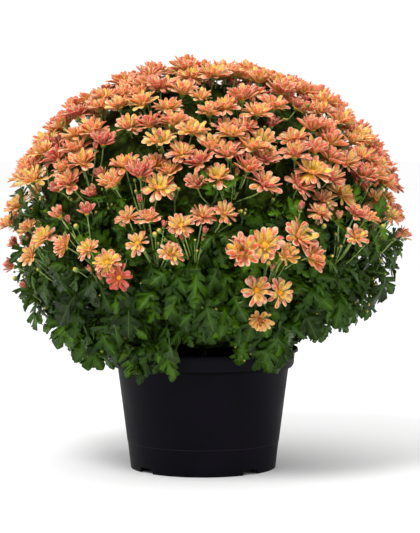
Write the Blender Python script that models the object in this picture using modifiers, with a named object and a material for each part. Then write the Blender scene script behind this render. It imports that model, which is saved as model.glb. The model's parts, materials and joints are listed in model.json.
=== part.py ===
"""Pot chrysanthemum: a large mum in full bloom, growing in a nursery pot.

Metres, +Z up. The origin is the middle of the pot's foot, on the surface that it stands on, and the
front is -Y. A bearing is an angle round from the front towards +X, and a height is an angle up from
the level of the crown's middle, both in degrees.
"""

import math
import random

import bmesh
import bpy
from mathutils import Matrix, Vector
from mathutils.bvhtree import BVHTree

# Pot
POT_STEPS = 32
RIM_RADIUS = 0.150
POT_HEIGHT = 0.1897
LIP_HEIGHT = 0.0077
BAND_RADIUS = 0.1440
BAND_FOOT = 0.1645
BODY_TOP_RADIUS = 0.1349
BODY_TOP = 0.1587
FOOT_RADIUS = 0.1144
SEAM_HEIGHT = 0.042
SEAM_STEP = 0.0004
WALL = 0.0026
FLOOR_UNDERSIDE = 0.011
FLOOR_TOP = 0.014
NOTCH_BEARINGS = (-50, 40, 130, 220)
NOTCH_WIDTH = 0.033
NOTCH_TOP_SHARE = 0.79
NOTCH_HEIGHT = 0.008
DRAIN_RADIUS = 0.0055
DRAIN_PLACE = 0.082

# Soil
GAP = 0.0003
SOIL_STEPS = 24
SOIL_TOP = 0.1555
SOIL_RISE = 0.011
SOIL_PLACES = (0.36, 0.72)
SOIL_RISES = (0.85, 0.5)
SOIL_ROUGHNESS = 0.0022
SOIL_SEED = 5

# Crown: the surface that the blooms' centres lie on
CROWN_SHIFT = 0.004
CROWN_RADIUS = 0.317
CROWN_RISE = 0.269
CROWN_MIDDLE = 0.375
GROWTH_CENTRE = Vector((0.002, 0.0, 0.31))
GOLDEN_ANGLE = math.pi * (3 - math.sqrt(5))

# Leafy stems: each has an inner mass of small leaves that its larger leaves stand out of
STEMS = 8
STEM_FOOT_PLACE = 0.042
STEM_FOOT = 0.130
STEM_RADIUS = 0.0048
STEM_TAPER = 0.7
STEM_HEAD_HEIGHT = -20
STEM_SIDES = 5
MASS_RADIUS = 0.236
MASS_RISE = 0.197
MASS_INNER_SHARE = 0.82
MASS_LOW = -60
MASS_HIGH = 86
MASS_COLUMNS = 3
MASS_ROWS = 6
MASS_ROUGHNESS = 0.13
MASS_GAP = 0.0012
MASS_SEED = 7

# Leaves: half an outline, from the foot of the petiole to the tip
LEAF_LENGTH = 0.097
LEAF_HALF_OUTLINE = ((0.021, 0.040), (0.010, 0.053), (0.026, 0.069), (0.011, 0.077))
LEAF_THICKNESS = 0.0022
LEAF_MIDDLE = 0.056
LEAF_ROOT = 0.006
LEAF_SPACING = 0.035
LEAF_WIDEST = 0.025
LEAF_ARCH_POWER = 0.8
LEAF_CLEARANCE = 0.0008
LEAF_PAST_CROWN = 0.006
LEAF_SCALES = (0.92, 1.2)
LEAF_ARCHES = (0.006, 0.016)
LEAF_FOLDS = (-0.1, 0.35)
LEAF_TURN = 0.5
LEAF_DROOP = 0.55
LEAF_DROOP_HEIGHT = 70
LEAF_FACE_OUT = 0.35
LEAF_FACE_TURN = 0.4
LOW_LEAVES = 92
LOW_LEAF_TRIES = 8
LOW_LEAF_HEIGHTS = (-56, 8)
HIGH_LEAVES = 58
HIGH_LEAF_TRIES = 10
HIGH_LEAF_HEIGHTS = (2, 62)
HIGH_LEAF_START = 40

# Blooms
UPPER_BLOOMS = 165
UPPER_SPRAYS = 28
UPPER_EDGE = 13
BLOOM_RADIUS = 0.0250
HALF_OPEN_RADIUS = 0.0135
BUD_RADIUS = 0.0042
BUD_TIP_SHARE = 0.4
BLOOM_PETALS = 8
OUTER_PETAL_REACH = 0.95
INNER_PETAL_REACH = 0.80
OUTER_PETAL_HEIGHT = 0.0004
INNER_PETAL_HEIGHT = 0.0060
PETAL_UNEVENNESS = 0.05
PETAL_NOTCH_REACH = 0.66
PETAL_NOTCH_DROP = 0.0014
HALF_OPEN_LIFT = 0.55
HEART_HEIGHT = 0.0026
HALF_OPEN_HEART_HEIGHT = 0.0050
BLOOM_TURN = 2.4
CALYX_DEPTH = 0.007
PEDICEL_RADIUS = 0.0014
STALK_RADIUS = 0.0023
STALK_FORK_RADIUS = 0.0030
FORK_DEPTHS = (0.050, 0.056, 0.044, 0.038)
SHORT_FORK_DEPTHS = (0.036, 0.044, 0.030)
BLOOM_SPACING = 0.0008
BLOOM_UNEVENNESS = 2
BLOOM_GATHERING = 0.07
BLOOM_LEAN_ASIDE = 0.14
BLOOM_LEAN_UP = 0.30
BLOOM_SUNK = 0.010
UPPER_BLOOM_SIZES = (0.92, 1.0)
LOW_BLOOM_SIZES = (0.84, 0.97)
HALF_OPEN_SHARE = 0.12
BUD_SHARE = 0.7
BUD_ASIDE = 9
BUD_DROPS = (3, 9)
SPRAYS_TOP = 86
SPREADING_ROUNDS = 80
SPREADING_PUSH = 0.55
LAYOUT_SEED = 16
LEAF_SEED = 23

# The low sprays at the front: (bearing, height) of each bloom
LOW_FRONT_SPRAYS = (
    ((-84, -12),),
    ((-61, 3), (-51, -2), (-58, -9)),
    ((-47, 8), (-42, -6), (-33, 10)),
    ((-32, -3), (-25, -5), (-22, -14)),
    ((-22, 8), (-15, 5), (-19, -1), (-7, -7)),
    ((-8, 6), (-1, 8), (8, 9)),
    ((7, -4), (15, -2), (22, -5), (28, 1), (33, -7)),
    ((13, -15), (22, -18), (16, -29)),
    ((26, 10), (34, 8)),
    ((45, 9), (44, -1), (53, 6)),
    ((66, 6), (77, 8), (77, -3)),
)
LOW_FRONT_HALF_OPEN = ((-22, -14), (77, 8), (77, -3), (-84, -12), (16, -29))
LOW_BACK_SPRAYS = 11
LOW_BACK_EDGE = 88
LOW_BACK_HEIGHTS = (5, -8, 2, -14)
LOW_BACK_BLOOMS = (4, 3, 4, 2)
LOW_BACK_STEP = (7, 9)
LOW_BACK_UNEVENNESS = 3


def make_material(name, colour, roughness):
    material = bpy.data.materials.new(name)
    material.use_nodes = True
    shader = material.node_tree.nodes["Principled BSDF"]
    shader.inputs["Base Color"].default_value = (*colour, 1)
    shader.inputs["Roughness"].default_value = roughness
    shader.inputs["Metallic"].default_value = 0
    material.diffuse_color = (*colour, 1)
    return material


def make_collection(name):
    collection = bpy.data.collections.new(name)
    bpy.context.scene.collection.children.link(collection)
    return collection


def add_object(name, bm, collection, materials):
    mesh = bpy.data.meshes.new(name)
    bm.to_mesh(mesh)
    bm.free()
    for material in materials:
        mesh.materials.append(material)
    obj = bpy.data.objects.new(name, mesh)
    collection.objects.link(obj)
    return obj


def add_boolean(obj, other, operation, solver="EXACT"):
    modifier = obj.modifiers.new("Boolean", "BOOLEAN")
    modifier.operation = operation
    modifier.solver = solver
    if isinstance(other, bpy.types.Collection):
        modifier.operand_type = "COLLECTION"
        modifier.collection = other
    else:
        modifier.object = other
    return modifier


def apply_modifiers(obj):
    graph = bpy.context.evaluated_depsgraph_get()
    mesh = bpy.data.meshes.new_from_object(obj.evaluated_get(graph))
    obj.modifiers.clear()
    old = obj.data
    obj.data = mesh
    bpy.data.meshes.remove(old)


def smooth(obj, degrees):
    obj.data.shade_smooth()
    obj.data.set_sharp_from_angle(angle=math.radians(degrees))


def turned(name, profile, steps, collection, materials):
    """A profile of (radius, height) points turned about +Z. It runs down the outer side."""
    bm = bmesh.new()
    points = [bm.verts.new((radius, 0, height)) for radius, height in profile]
    for upper, lower in zip(points, points[1:]):
        bm.edges.new((upper, lower))
    obj = add_object(name, bm, collection, materials)
    screw = obj.modifiers.new("Screw", "SCREW")
    screw.steps = steps
    screw.render_steps = steps
    screw.use_merge_vertices = True
    screw.merge_threshold = 0.00001
    apply_modifiers(obj)
    return obj


def on_bearing(bearing, radius, height):
    angle = math.radians(bearing)
    return Vector((radius * math.sin(angle), -radius * math.cos(angle), height))


def on_crown(bearing, height, radius=CROWN_RADIUS, rise=CROWN_RISE):
    up = math.radians(height)
    point = on_bearing(bearing, radius * math.cos(up), CROWN_MIDDLE + rise * math.sin(up))
    return point + Vector((CROWN_SHIFT, 0, 0))


def crown_normal(point):
    flat = CROWN_RADIUS**2
    x, y, z = point.x - CROWN_SHIFT, point.y, point.z - CROWN_MIDDLE
    return Vector((x / flat, y / flat, z / CROWN_RISE**2)).normalized()


def to_crown(point):
    """The crown's point in the same direction from its middle."""
    x, y, z = point.x - CROWN_SHIFT, point.y, point.z - CROWN_MIDDLE
    size = math.hypot(x / CROWN_RADIUS, y / CROWN_RADIUS, z / CROWN_RISE)
    return Vector((CROWN_SHIFT + x / size, y / size, CROWN_MIDDLE + z / size))


def pot_wall_radius(height):
    return FOOT_RADIUS + (BODY_TOP_RADIUS - FOOT_RADIUS) * height / BODY_TOP


def pot_profile():
    seam_radius = pot_wall_radius(SEAM_HEIGHT)
    lip_foot = POT_HEIGHT - LIP_HEIGHT
    inside = [
        (0, FLOOR_TOP),
        (pot_wall_radius(FLOOR_TOP) - WALL, FLOOR_TOP),
        (BODY_TOP_RADIUS - WALL, BODY_TOP - WALL / 2),
        (BAND_RADIUS - 1.4 * WALL, BAND_FOOT),
        (BAND_RADIUS - WALL / 2, POT_HEIGHT - WALL / 2),
    ]
    lip = [
        (BAND_RADIUS + WALL / 2, POT_HEIGHT),
        (RIM_RADIUS - WALL / 3, POT_HEIGHT - WALL / 4),
        (RIM_RADIUS, lip_foot + WALL),
        (BAND_RADIUS + WALL / 4, lip_foot),
    ]
    outside = [
        (BAND_RADIUS - WALL / 3, BAND_FOOT),
        (BAND_RADIUS - 1.4 * WALL, BODY_TOP + WALL / 2),
        (BODY_TOP_RADIUS, BODY_TOP),
        (seam_radius, SEAM_HEIGHT),
        (seam_radius - SEAM_STEP, SEAM_HEIGHT - SEAM_STEP),
        (FOOT_RADIUS, 0),
    ]
    foot = [
        (FOOT_RADIUS - WALL, 0),
        (pot_wall_radius(FLOOR_UNDERSIDE) - WALL, FLOOR_UNDERSIDE),
        (0, FLOOR_UNDERSIDE),
    ]
    return inside + lip + outside + foot


def notch_cutter(bearing, cutters):
    """A trapezium cut through the foot's skirt."""
    bm = bmesh.new()
    bmesh.ops.create_cube(bm, size=1)
    for vert in bm.verts:
        share = NOTCH_TOP_SHARE if vert.co.z > 0 else 1
        vert.co.x *= NOTCH_WIDTH * share
        vert.co.y *= 6 * WALL
        vert.co.z *= 2 * NOTCH_HEIGHT
    place = Matrix.Translation(on_bearing(bearing, FOOT_RADIUS - WALL / 2, 0))
    bm.transform(place @ Matrix.Rotation(math.radians(bearing), 4, "Z"))
    return add_object(f"notch_{bearing}", bm, cutters, [])


def drain_cutter(bearing, cutters):
    bm = bmesh.new()
    bmesh.ops.create_cone(
        bm,
        cap_ends=True,
        segments=8,
        radius1=DRAIN_RADIUS,
        radius2=DRAIN_RADIUS,
        depth=4 * WALL,
    )
    middle = (FLOOR_TOP + FLOOR_UNDERSIDE) / 2
    bm.transform(Matrix.Translation(on_bearing(bearing, DRAIN_PLACE, middle)))
    return add_object(f"drain_{bearing}", bm, cutters, [])


def make_pot(parts, cutters, material):
    pot = turned("pot", pot_profile(), POT_STEPS, parts, [material])
    for bearing in NOTCH_BEARINGS:
        add_boolean(pot, notch_cutter(bearing, cutters), "DIFFERENCE")
        add_boolean(pot, drain_cutter(bearing, cutters), "DIFFERENCE")
    apply_modifiers(pot)
    smooth(pot, 30)
    return pot


def stem_ends(sector):
    """Where a main stem starts in the soil, and where it ends inside its mass of leaves."""
    bearing = sector * 360 / STEMS
    foot = on_bearing(bearing, STEM_FOOT_PLACE, STEM_FOOT)
    share = (1 + MASS_INNER_SHARE) / 2
    head = on_crown(bearing, STEM_HEAD_HEIGHT, MASS_RADIUS * share, MASS_RISE * share)
    return foot, head


def tapered_rod(bm, foot, head, foot_radius, head_radius, sides):
    """A straight tapered rod between two points."""
    made = bmesh.ops.create_cone(
        bm,
        cap_ends=True,
        segments=sides,
        radius1=foot_radius,
        radius2=head_radius,
        depth=(head - foot).length,
    )
    turn = (head - foot).to_track_quat("Z", "Y").to_matrix().to_4x4()
    place = Matrix.Translation((head + foot) / 2) @ turn
    bmesh.ops.transform(bm, matrix=place, verts=made["verts"])


def stem_hole(sector, cutters):
    foot, head = stem_ends(sector)
    along = (head - foot).normalized()
    bm = bmesh.new()
    radius = STEM_RADIUS + 1.5 * GAP
    tapered_rod(bm, foot - GAP * along, head, radius, radius, STEM_SIDES)
    return add_object(f"stem_hole_{sector}", bm, cutters, [])


def make_soil(parts, cutters, material):
    rng = random.Random(SOIL_SEED)
    side = math.cos(math.pi / POT_STEPS)
    top_radius = (pot_wall_radius(SOIL_TOP) - WALL) * side - GAP
    foot_radius = (pot_wall_radius(FLOOR_TOP) - WALL) * side - GAP
    profile = [
        (0, SOIL_TOP + SOIL_RISE),
        (top_radius * SOIL_PLACES[0], SOIL_TOP + SOIL_RISE * SOIL_RISES[0]),
        (top_radius * SOIL_PLACES[1], SOIL_TOP + SOIL_RISE * SOIL_RISES[1]),
        (top_radius, SOIL_TOP),
        (foot_radius, FLOOR_TOP + GAP),
        (0, FLOOR_TOP + GAP),
    ]
    soil = turned("soil", profile, SOIL_STEPS, parts, [material])
    for vert in soil.data.vertices:
        if vert.co.z > SOIL_TOP + SOIL_ROUGHNESS:
            vert.co.z += rng.uniform(-SOIL_ROUGHNESS, SOIL_ROUGHNESS)
    for sector in range(STEMS):
        add_boolean(soil, stem_hole(sector, cutters), "DIFFERENCE")
    apply_modifiers(soil)
    return soil


class Flower:
    """A bloom, a half-open bloom or a bud: where its centre is, how wide it is, and its spray."""

    def __init__(self, kind, place, radius, spray):
        self.kind = kind
        self.place = place
        self.radius = radius
        self.spray = spray


def spiral_heights(count, low, high):
    """Bearings and heights of points spread evenly over the crown from high down to low."""
    top = math.sin(math.radians(high))
    step = (top - math.sin(math.radians(low))) / count
    for turn in range(count):
        height = math.degrees(math.asin(top - (turn + 0.5) * step))
        yield math.degrees(turn * GOLDEN_ANGLE) % 360, height


def upper_flowers(rng):
    """Blooms over the top of the crown, drawn a little towards their spray's centre."""
    sprays = [on_crown(*spot) for spot in spiral_heights(UPPER_SPRAYS, UPPER_EDGE + 3, SPRAYS_TOP)]
    flowers = []
    for bearing, height in spiral_heights(UPPER_BLOOMS, UPPER_EDGE, 90):
        unevenness = BLOOM_UNEVENNESS
        bearing += rng.uniform(-unevenness, unevenness)
        place = on_crown(bearing, height + rng.uniform(-unevenness, unevenness))
        spray = min(range(len(sprays)), key=lambda index: (sprays[index] - place).length)
        place = to_crown(place.lerp(sprays[spray], BLOOM_GATHERING))
        radius = BLOOM_RADIUS * rng.uniform(*UPPER_BLOOM_SIZES)
        flowers.append(Flower("bloom", place, radius, spray))
    return flowers


def low_spray_spots(rng):
    """The low sprays: those at the front as they stand, and those at the back by rule."""
    spots = [list(spray) for spray in LOW_FRONT_SPRAYS]
    span = 360 - 2 * LOW_BACK_EDGE
    for turn in range(LOW_BACK_SPRAYS):
        bearing = LOW_BACK_EDGE + span * (turn + 0.5) / LOW_BACK_SPRAYS
        height = LOW_BACK_HEIGHTS[turn % 4]
        height += rng.uniform(-LOW_BACK_UNEVENNESS, LOW_BACK_UNEVENNESS)
        count = LOW_BACK_BLOOMS[turn % 4]
        aside, up = LOW_BACK_STEP
        spots.append([(bearing + aside * step, height + up * (step % 2)) for step in range(count)])
    return spots


def low_flowers(rng, first_spray):
    flowers = []
    for spray, spots in enumerate(low_spray_spots(rng), start=first_spray):
        for spot in spots:
            half_open = spot in LOW_FRONT_HALF_OPEN or rng.random() < HALF_OPEN_SHARE
            kind = "half_open" if half_open else "bloom"
            radius = HALF_OPEN_RADIUS if half_open else BLOOM_RADIUS * rng.uniform(*LOW_BLOOM_SIZES)
            flowers.append(Flower(kind, on_crown(*spot), radius, spray))
        if rng.random() < BUD_SHARE:
            bearing, height = spots[0]
            aside = rng.choice((-BUD_ASIDE, BUD_ASIDE))
            beside = on_crown(bearing + aside, height - rng.uniform(*BUD_DROPS))
            flowers.append(Flower("bud", beside, BUD_RADIUS, spray))
    return flowers


def spread_flowers(flowers):
    """Moves flowers that stand too close apart along the crown, until all are clear."""
    for _ in range(SPREADING_ROUNDS):
        moved = False
        for index, one in enumerate(flowers):
            for other in flowers[:index]:
                apart = one.place - other.place
                least = one.radius + other.radius + BLOOM_SPACING
                if apart.length >= least:
                    continue
                push = apart.normalized() * (least - apart.length) * SPREADING_PUSH
                one.place = to_crown(one.place + push)
                other.place = to_crown(other.place - push)
                moved = True
        if not moved:
            return


def flower_layout():
    rng = random.Random(LAYOUT_SEED)
    flowers = upper_flowers(rng)
    flowers += low_flowers(rng, UPPER_SPRAYS)
    spread_flowers(flowers)
    sprays = {}
    for number, flower in enumerate(flowers):
        flower.number = number
        outward = crown_normal(flower.place)
        aside = BLOOM_LEAN_ASIDE
        lean = Vector((rng.uniform(-aside, aside), rng.uniform(-aside, aside), BLOOM_LEAN_UP))
        flower.axis = (outward + lean).normalized()
        flower.place = flower.place - outward * rng.uniform(0, BLOOM_SUNK)
        sprays.setdefault(flower.spray, []).append(flower)
    return [sprays[key] for key in sorted(sprays)]


def bloom_ring(flower):
    """The petals' tips and the notches between them, as (turn, radius, height) round the axis."""
    lift = HALF_OPEN_LIFT * flower.radius if flower.kind == "half_open" else 0
    ring = []
    for petal in range(BLOOM_PETALS):
        inner = petal % 2
        wave = PETAL_UNEVENNESS * math.sin(flower.number * 1.9 + petal * 2.3)
        reach = (INNER_PETAL_REACH if inner else OUTER_PETAL_REACH) + wave
        height = (INNER_PETAL_HEIGHT if inner else OUTER_PETAL_HEIGHT) + lift
        ring.append((petal, reach * flower.radius, height))
        ring.append((petal + 0.5, PETAL_NOTCH_REACH * flower.radius, lift / 2 - PETAL_NOTCH_DROP))
    return ring


def flower_frame(flower):
    """From the flower's own frame, +Z along its axis, to the object's."""
    turn = flower.axis.to_track_quat("Z", "Y").to_matrix().to_4x4()
    spin = Matrix.Rotation(flower.number * BLOOM_TURN, 4, "Z")
    return Matrix.Translation(flower.place) @ turn @ spin


def add_bloom(bm, pedicel_end, flower):
    """A star of petals in two layers on a pedicel's open end, with the calyx under it."""
    points = 2 * BLOOM_PETALS
    made = bmesh.ops.create_circle(bm, cap_ends=True, cap_tris=True, segments=points, radius=1)
    middle = min(made["verts"], key=lambda vert: vert.co.length)
    rim = [vert for vert in made["verts"] if vert is not middle]
    rim.sort(key=lambda vert: math.atan2(vert.co.y, vert.co.x))
    for vert, (step, radius, height) in zip(rim, bloom_ring(flower)):
        angle = 2 * math.pi * step / BLOOM_PETALS
        vert.co = Vector((radius * math.cos(angle), radius * math.sin(angle), height))
    middle.co = Vector((0, 0, HEART_HEIGHT if flower.kind == "bloom" else HALF_OPEN_HEART_HEIGHT))
    bmesh.ops.transform(bm, matrix=flower_frame(flower), verts=made["verts"])
    edges = {edge for vert in rim for edge in vert.link_edges if edge.is_boundary}
    made = bmesh.ops.bridge_loops(bm, edges=list(edges) + pedicel_end)
    for face in made["faces"]:
        face.material_index = 1
    for face in middle.link_faces:
        face.material_index = 1


def grow(bm, face, middle, axis, radius):
    """Extrudes a face to a new place, turned to face along the axis, and returns the new end."""
    start = face.verts[0].co - face.calc_center_median()
    start.rotate(face.normal.rotation_difference(axis))
    made = bmesh.ops.extrude_discrete_faces(bm, faces=[face])
    end = made["faces"][0]
    for corner, vert in enumerate(end.verts):
        spin = Matrix.Rotation(corner * math.tau / 3, 3, axis)
        vert.co = middle + spin @ start.normalized() * radius
    end.normal_update()
    return end


def add_flower(bm, face, flower):
    if flower.kind == "bud":
        neck = grow(bm, face, flower.place - flower.axis * BUD_RADIUS, flower.axis, PEDICEL_RADIUS)
        belly = grow(bm, neck, flower.place, flower.axis, BUD_RADIUS)
        tip = flower.place + flower.axis * BUD_RADIUS
        grow(bm, belly, tip, flower.axis, BUD_RADIUS * BUD_TIP_SHARE)
        return
    middle = flower.place - flower.axis * CALYX_DEPTH
    end = grow(bm, face, middle, flower.axis, PEDICEL_RADIUS)
    edges = list(end.edges)
    bmesh.ops.delete(bm, geom=[end], context="FACES_ONLY")
    add_bloom(bm, edges, flower)


def crosses_itself(bm):
    """Whether any two faces that share no corner cross."""
    tree = BVHTree.FromBMesh(bm)
    bm.faces.ensure_lookup_table()
    corners = [{vert.index for vert in face.verts} for face in bm.faces]
    return any(one != other and not corners[one] & corners[other] for one, other in tree.overlap(tree))


def spray_shape(flowers, depth, masses):
    """A stalk, its fork a depth under its flowers, and a pedicel to each flower."""
    middle = sum((flower.place for flower in flowers), Vector()) / len(flowers)
    grows = (middle - GROWTH_CENTRE).normalized()
    fork = middle - grows * depth
    turn = grows.to_track_quat("Z", "Y").to_matrix().to_4x4()
    across = turn.to_3x3().inverted()
    bm = bmesh.new()
    angles = fork_angles([angle_in(across, flower.place - fork) for flower in flowers])
    stalk_verts, foot_verts = fork_stalk(bm, angles)
    bmesh.ops.transform(bm, matrix=Matrix.Translation(fork) @ turn, verts=stalk_verts)
    reaches = [masses.ray_cast(vert.co, -grows)[3] for vert in foot_verts]
    length = min(reach for reach in reaches if reach is not None) - GAP
    for vert in foot_verts:
        vert.co -= grows * length
    while BVHTree.FromBMesh(bm, epsilon=GAP).overlap(masses):
        for vert in foot_verts:
            vert.co += grows * GAP
    bm.normal_update()
    tops = [face for face in bm.faces if all(vert not in foot_verts for vert in face.verts)]
    places = [(face, angle_in(across, face.calc_center_median() - fork)) for face in tops]
    flowers = sorted(flowers, key=lambda flower: angle_in(across, flower.place - fork))
    for flower, angle in zip(flowers, angles):
        face, _ = min(places, key=lambda place: 1 - math.cos(place[1] - angle))
        add_flower(bm, face, flower)
    bmesh.ops.recalc_face_normals(bm, faces=bm.faces[:])
    bm.verts.index_update()
    return bm


def angle_in(across, offset):
    """The angle of an offset round the axis that the frame across is turned to."""
    local = across @ offset
    return math.atan2(local.y, local.x)


def fork_angles(angles):
    """Angles round a fork to part it at: the flowers' own, evened out, and at least three."""
    angles = sorted(angles)
    while len(angles) < 3:
        gaps = [(after - before) % math.tau for before, after in zip(angles, angles[1:] + angles[:1])]
        widest = max(range(len(angles)), key=lambda index: gaps[index] or math.tau)
        gap = gaps[widest] or math.tau
        share = 1 / 2 if len(angles) == 2 else 1 / 3
        angles.insert(widest + 1, angles[widest] + gap * share)
    even = math.tau / len(angles)
    offsets = [angle - index * even for index, angle in enumerate(angles)]
    middle = sum(offsets) / len(offsets)
    return [(offset + middle) / 2 + index * even for index, offset in enumerate(offsets)]


def fork_stalk(bm, angles):
    """A stalk's cone, whose fan of top faces holds one face round each of the angles."""
    made = bmesh.ops.create_cone(
        bm,
        cap_ends=True,
        cap_tris=True,
        segments=len(angles),
        radius1=STALK_RADIUS,
        radius2=STALK_FORK_RADIUS,
        depth=1,
    )
    for level in (-0.5, 0.5):
        on_level = [vert for vert in made["verts"] if vert.co.z == level]
        rim = [vert for vert in on_level if vert.co.xy.length > STALK_RADIUS / 2]
        rim.sort(key=lambda vert: math.atan2(vert.co.y, vert.co.x))
        following = angles[1:] + [angles[0] + math.tau]
        for vert, before, after in zip(rim, angles, following):
            between = (before + after) / 2
            radius = vert.co.xy.length
            vert.co = Vector((radius * math.cos(between), radius * math.sin(between), level))
    foot = [vert for vert in made["verts"] if vert.co.z < 0]
    for vert in made["verts"]:
        vert.co.z = 0
    return made["verts"], foot


def make_spray(name, flowers, masses, parts, materials):
    """A spray that stands on a stem's mass of leaves, forked low enough for its pedicels to be clear."""
    depths = FORK_DEPTHS if len(flowers) > 2 else SHORT_FORK_DEPTHS
    for depth in depths:
        bm = spray_shape(flowers, depth, masses)
        if not crosses_itself(bm):
            break
    return add_object(name, bm, parts, materials)


def add_leaf_mass(sector, rng, working, material):
    """A stem's inner mass of small leaves: a lumpy slab, one sector of a hollow crown."""
    bm = bmesh.new()
    bmesh.ops.create_grid(bm, x_segments=MASS_COLUMNS, y_segments=MASS_ROWS, size=0.5)
    edge = 180 / STEMS
    for vert in bm.verts:
        up = vert.co.y + 0.5
        height = MASS_LOW + (MASS_HIGH - MASS_LOW) * up
        reach = 1 - rng.uniform(0, MASS_ROUGHNESS)
        radius = MASS_RADIUS * reach
        apart = math.degrees(MASS_GAP / 2 / (radius * math.cos(math.radians(height))))
        bearing = sector * 2 * edge + 2 * vert.co.x * (edge - apart)
        vert.co = on_crown(bearing, height, radius, MASS_RISE * reach)
    made = bmesh.ops.extrude_face_region(bm, geom=bm.faces[:], use_keep_orig=True)
    inner = [item for item in made["geom"] if isinstance(item, bmesh.types.BMVert)]
    middle = Vector((CROWN_SHIFT, 0, CROWN_MIDDLE))
    for vert in inner:
        vert.co = middle + (vert.co - middle) * MASS_INNER_SHARE
    bmesh.ops.triangulate(bm, faces=bm.faces[:])
    bmesh.ops.recalc_face_normals(bm, faces=bm.faces[:])
    return add_object(f"mass_{sector}", bm, working, [material])


def leaf_mesh(scale, arch, fold, grown):
    """One leaf in its own frame: the midrib along +Y from the petiole's foot, its face up."""
    outline = [(0, 0)]
    outline += [(x, y) for x, y in LEAF_HALF_OUTLINE]
    outline.append((0, LEAF_LENGTH))
    outline += [(-x, y) for x, y in reversed(LEAF_HALF_OUTLINE)]
    bm = bmesh.new()
    bmesh.ops.create_uvsphere(bm, u_segments=len(outline), v_segments=2, radius=1)
    poles = [vert for vert in bm.verts if abs(vert.co.z) > 0.5]
    rim = [vert for vert in bm.verts if abs(vert.co.z) <= 0.5]
    rim.sort(key=lambda vert: math.atan2(vert.co.y, vert.co.x))
    for vert, (x, y) in zip(rim, outline):
        along = y / LEAF_LENGTH
        bend = arch * (4 * along * (1 - along)) ** LEAF_ARCH_POWER
        width = x * (1 + grown / LEAF_WIDEST)
        length = y + (grown if y > LEAF_MIDDLE else 0)
        vert.co = Vector((width, length, bend - fold * abs(x)))
    for vert in poles:
        side = 1 if vert.co.z > 0 else -1
        along = LEAF_MIDDLE / LEAF_LENGTH
        bend = arch * (4 * along * (1 - along)) ** LEAF_ARCH_POWER
        vert.co = Vector((0, LEAF_MIDDLE, bend + side * (LEAF_THICKNESS / 2 + grown)))
    bmesh.ops.recalc_face_normals(bm, faces=bm.faces[:])
    bmesh.ops.scale(bm, vec=(scale, scale, scale), verts=bm.verts[:])
    return bm


def leaf_frame(foot, along, face):
    across = along.cross(face).normalized()
    up = across.cross(along)
    return Matrix.Translation(foot) @ Matrix((across, along, up)).transposed().to_4x4()


class Obstacles:
    """Shapes that a new leaf has to stay clear of."""

    def __init__(self):
        self.shapes = []

    def add(self, bm, owner):
        middle = sum((vert.co for vert in bm.verts), Vector()) / len(bm.verts)
        reach = max((vert.co - middle).length for vert in bm.verts)
        self.shapes.append((middle, reach, owner, BVHTree.FromBMesh(bm)))

    def hit(self, bm, passed):
        middle = sum((vert.co for vert in bm.verts), Vector()) / len(bm.verts)
        reach = max((vert.co - middle).length for vert in bm.verts)
        tree = BVHTree.FromBMesh(bm)
        for other, size, owner, shape in self.shapes:
            if owner == passed or (other - middle).length > reach + size:
                continue
            if tree.overlap(shape):
                return True
        return False


def object_bmesh(obj):
    bm = bmesh.new()
    bm.from_mesh(obj.data)
    return bm


def leaf_spots():
    """Bearings and heights to try leaves at, and how many leaves may stand once each is tried."""
    for bearing, height in spiral_heights(LOW_LEAF_TRIES * LOW_LEAVES, *LOW_LEAF_HEIGHTS):
        yield bearing, height, LOW_LEAVES
    for bearing, height in spiral_heights(HIGH_LEAF_TRIES * HIGH_LEAVES, *HIGH_LEAF_HEIGHTS):
        yield bearing + HIGH_LEAF_START, height, LOW_LEAVES + HIGH_LEAVES


def place_leaves(masses, obstacles, working, material):
    """Tries leaves over the crown and keeps those that are clear of all else, by stem."""
    rng = random.Random(LEAF_SEED)
    trees = [BVHTree.FromObject(mass, bpy.context.evaluated_depsgraph_get()) for mass in masses]
    spots = list(leaf_spots())
    rng.shuffle(spots)
    spots.sort(key=lambda spot: spot[2])
    placed = [[] for _ in masses]
    feet = []
    count = 0
    for bearing, height, limit in spots:
        if count >= limit:
            continue
        sector = round(bearing / (360 / STEMS)) % STEMS
        outside = on_crown(bearing, height)
        middle = Vector((CROWN_SHIFT, 0, CROWN_MIDDLE))
        hit, normal, _, _ = trees[sector].ray_cast(outside, middle - outside)
        if hit is None or any((foot - hit).length < LEAF_SPACING for foot in feet):
            continue
        outward = crown_normal(outside)
        droop = LEAF_DROOP - height / LEAF_DROOP_HEIGHT
        turn = rng.uniform(-LEAF_TURN, LEAF_TURN)
        side = outward.cross(Vector((0, 0, 1))).normalized()
        along = (outward + Vector((0, 0, -droop)) + side * turn).normalized()
        face_turn = rng.uniform(-LEAF_FACE_TURN, LEAF_FACE_TURN)
        face = Vector((0, 0, 1)) + outward * LEAF_FACE_OUT + side * face_turn
        scale = rng.uniform(*LEAF_SCALES)
        arch = rng.uniform(*LEAF_ARCHES)
        fold = rng.uniform(*LEAF_FOLDS)
        foot = hit - along * LEAF_ROOT
        place = leaf_frame(foot, along, face.normalized())
        grown = leaf_mesh(scale, arch, fold, LEAF_CLEARANCE)
        grown.transform(place)
        tip = place @ Vector((0, LEAF_LENGTH * scale, 0))
        outside_crown = (tip - to_crown(tip)).dot(crown_normal(tip)) > LEAF_PAST_CROWN
        if outside_crown or obstacles.hit(grown, sector):
            grown.free()
            continue
        grown.free()
        leaf = leaf_mesh(scale, arch, fold, 0)
        leaf.transform(place)
        obstacles.add(leaf, "leaf")
        feet.append(hit)
        placed[sector].append(add_object(f"leaf_{count}", leaf, working, [material]))
        count += 1
    return placed


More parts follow.
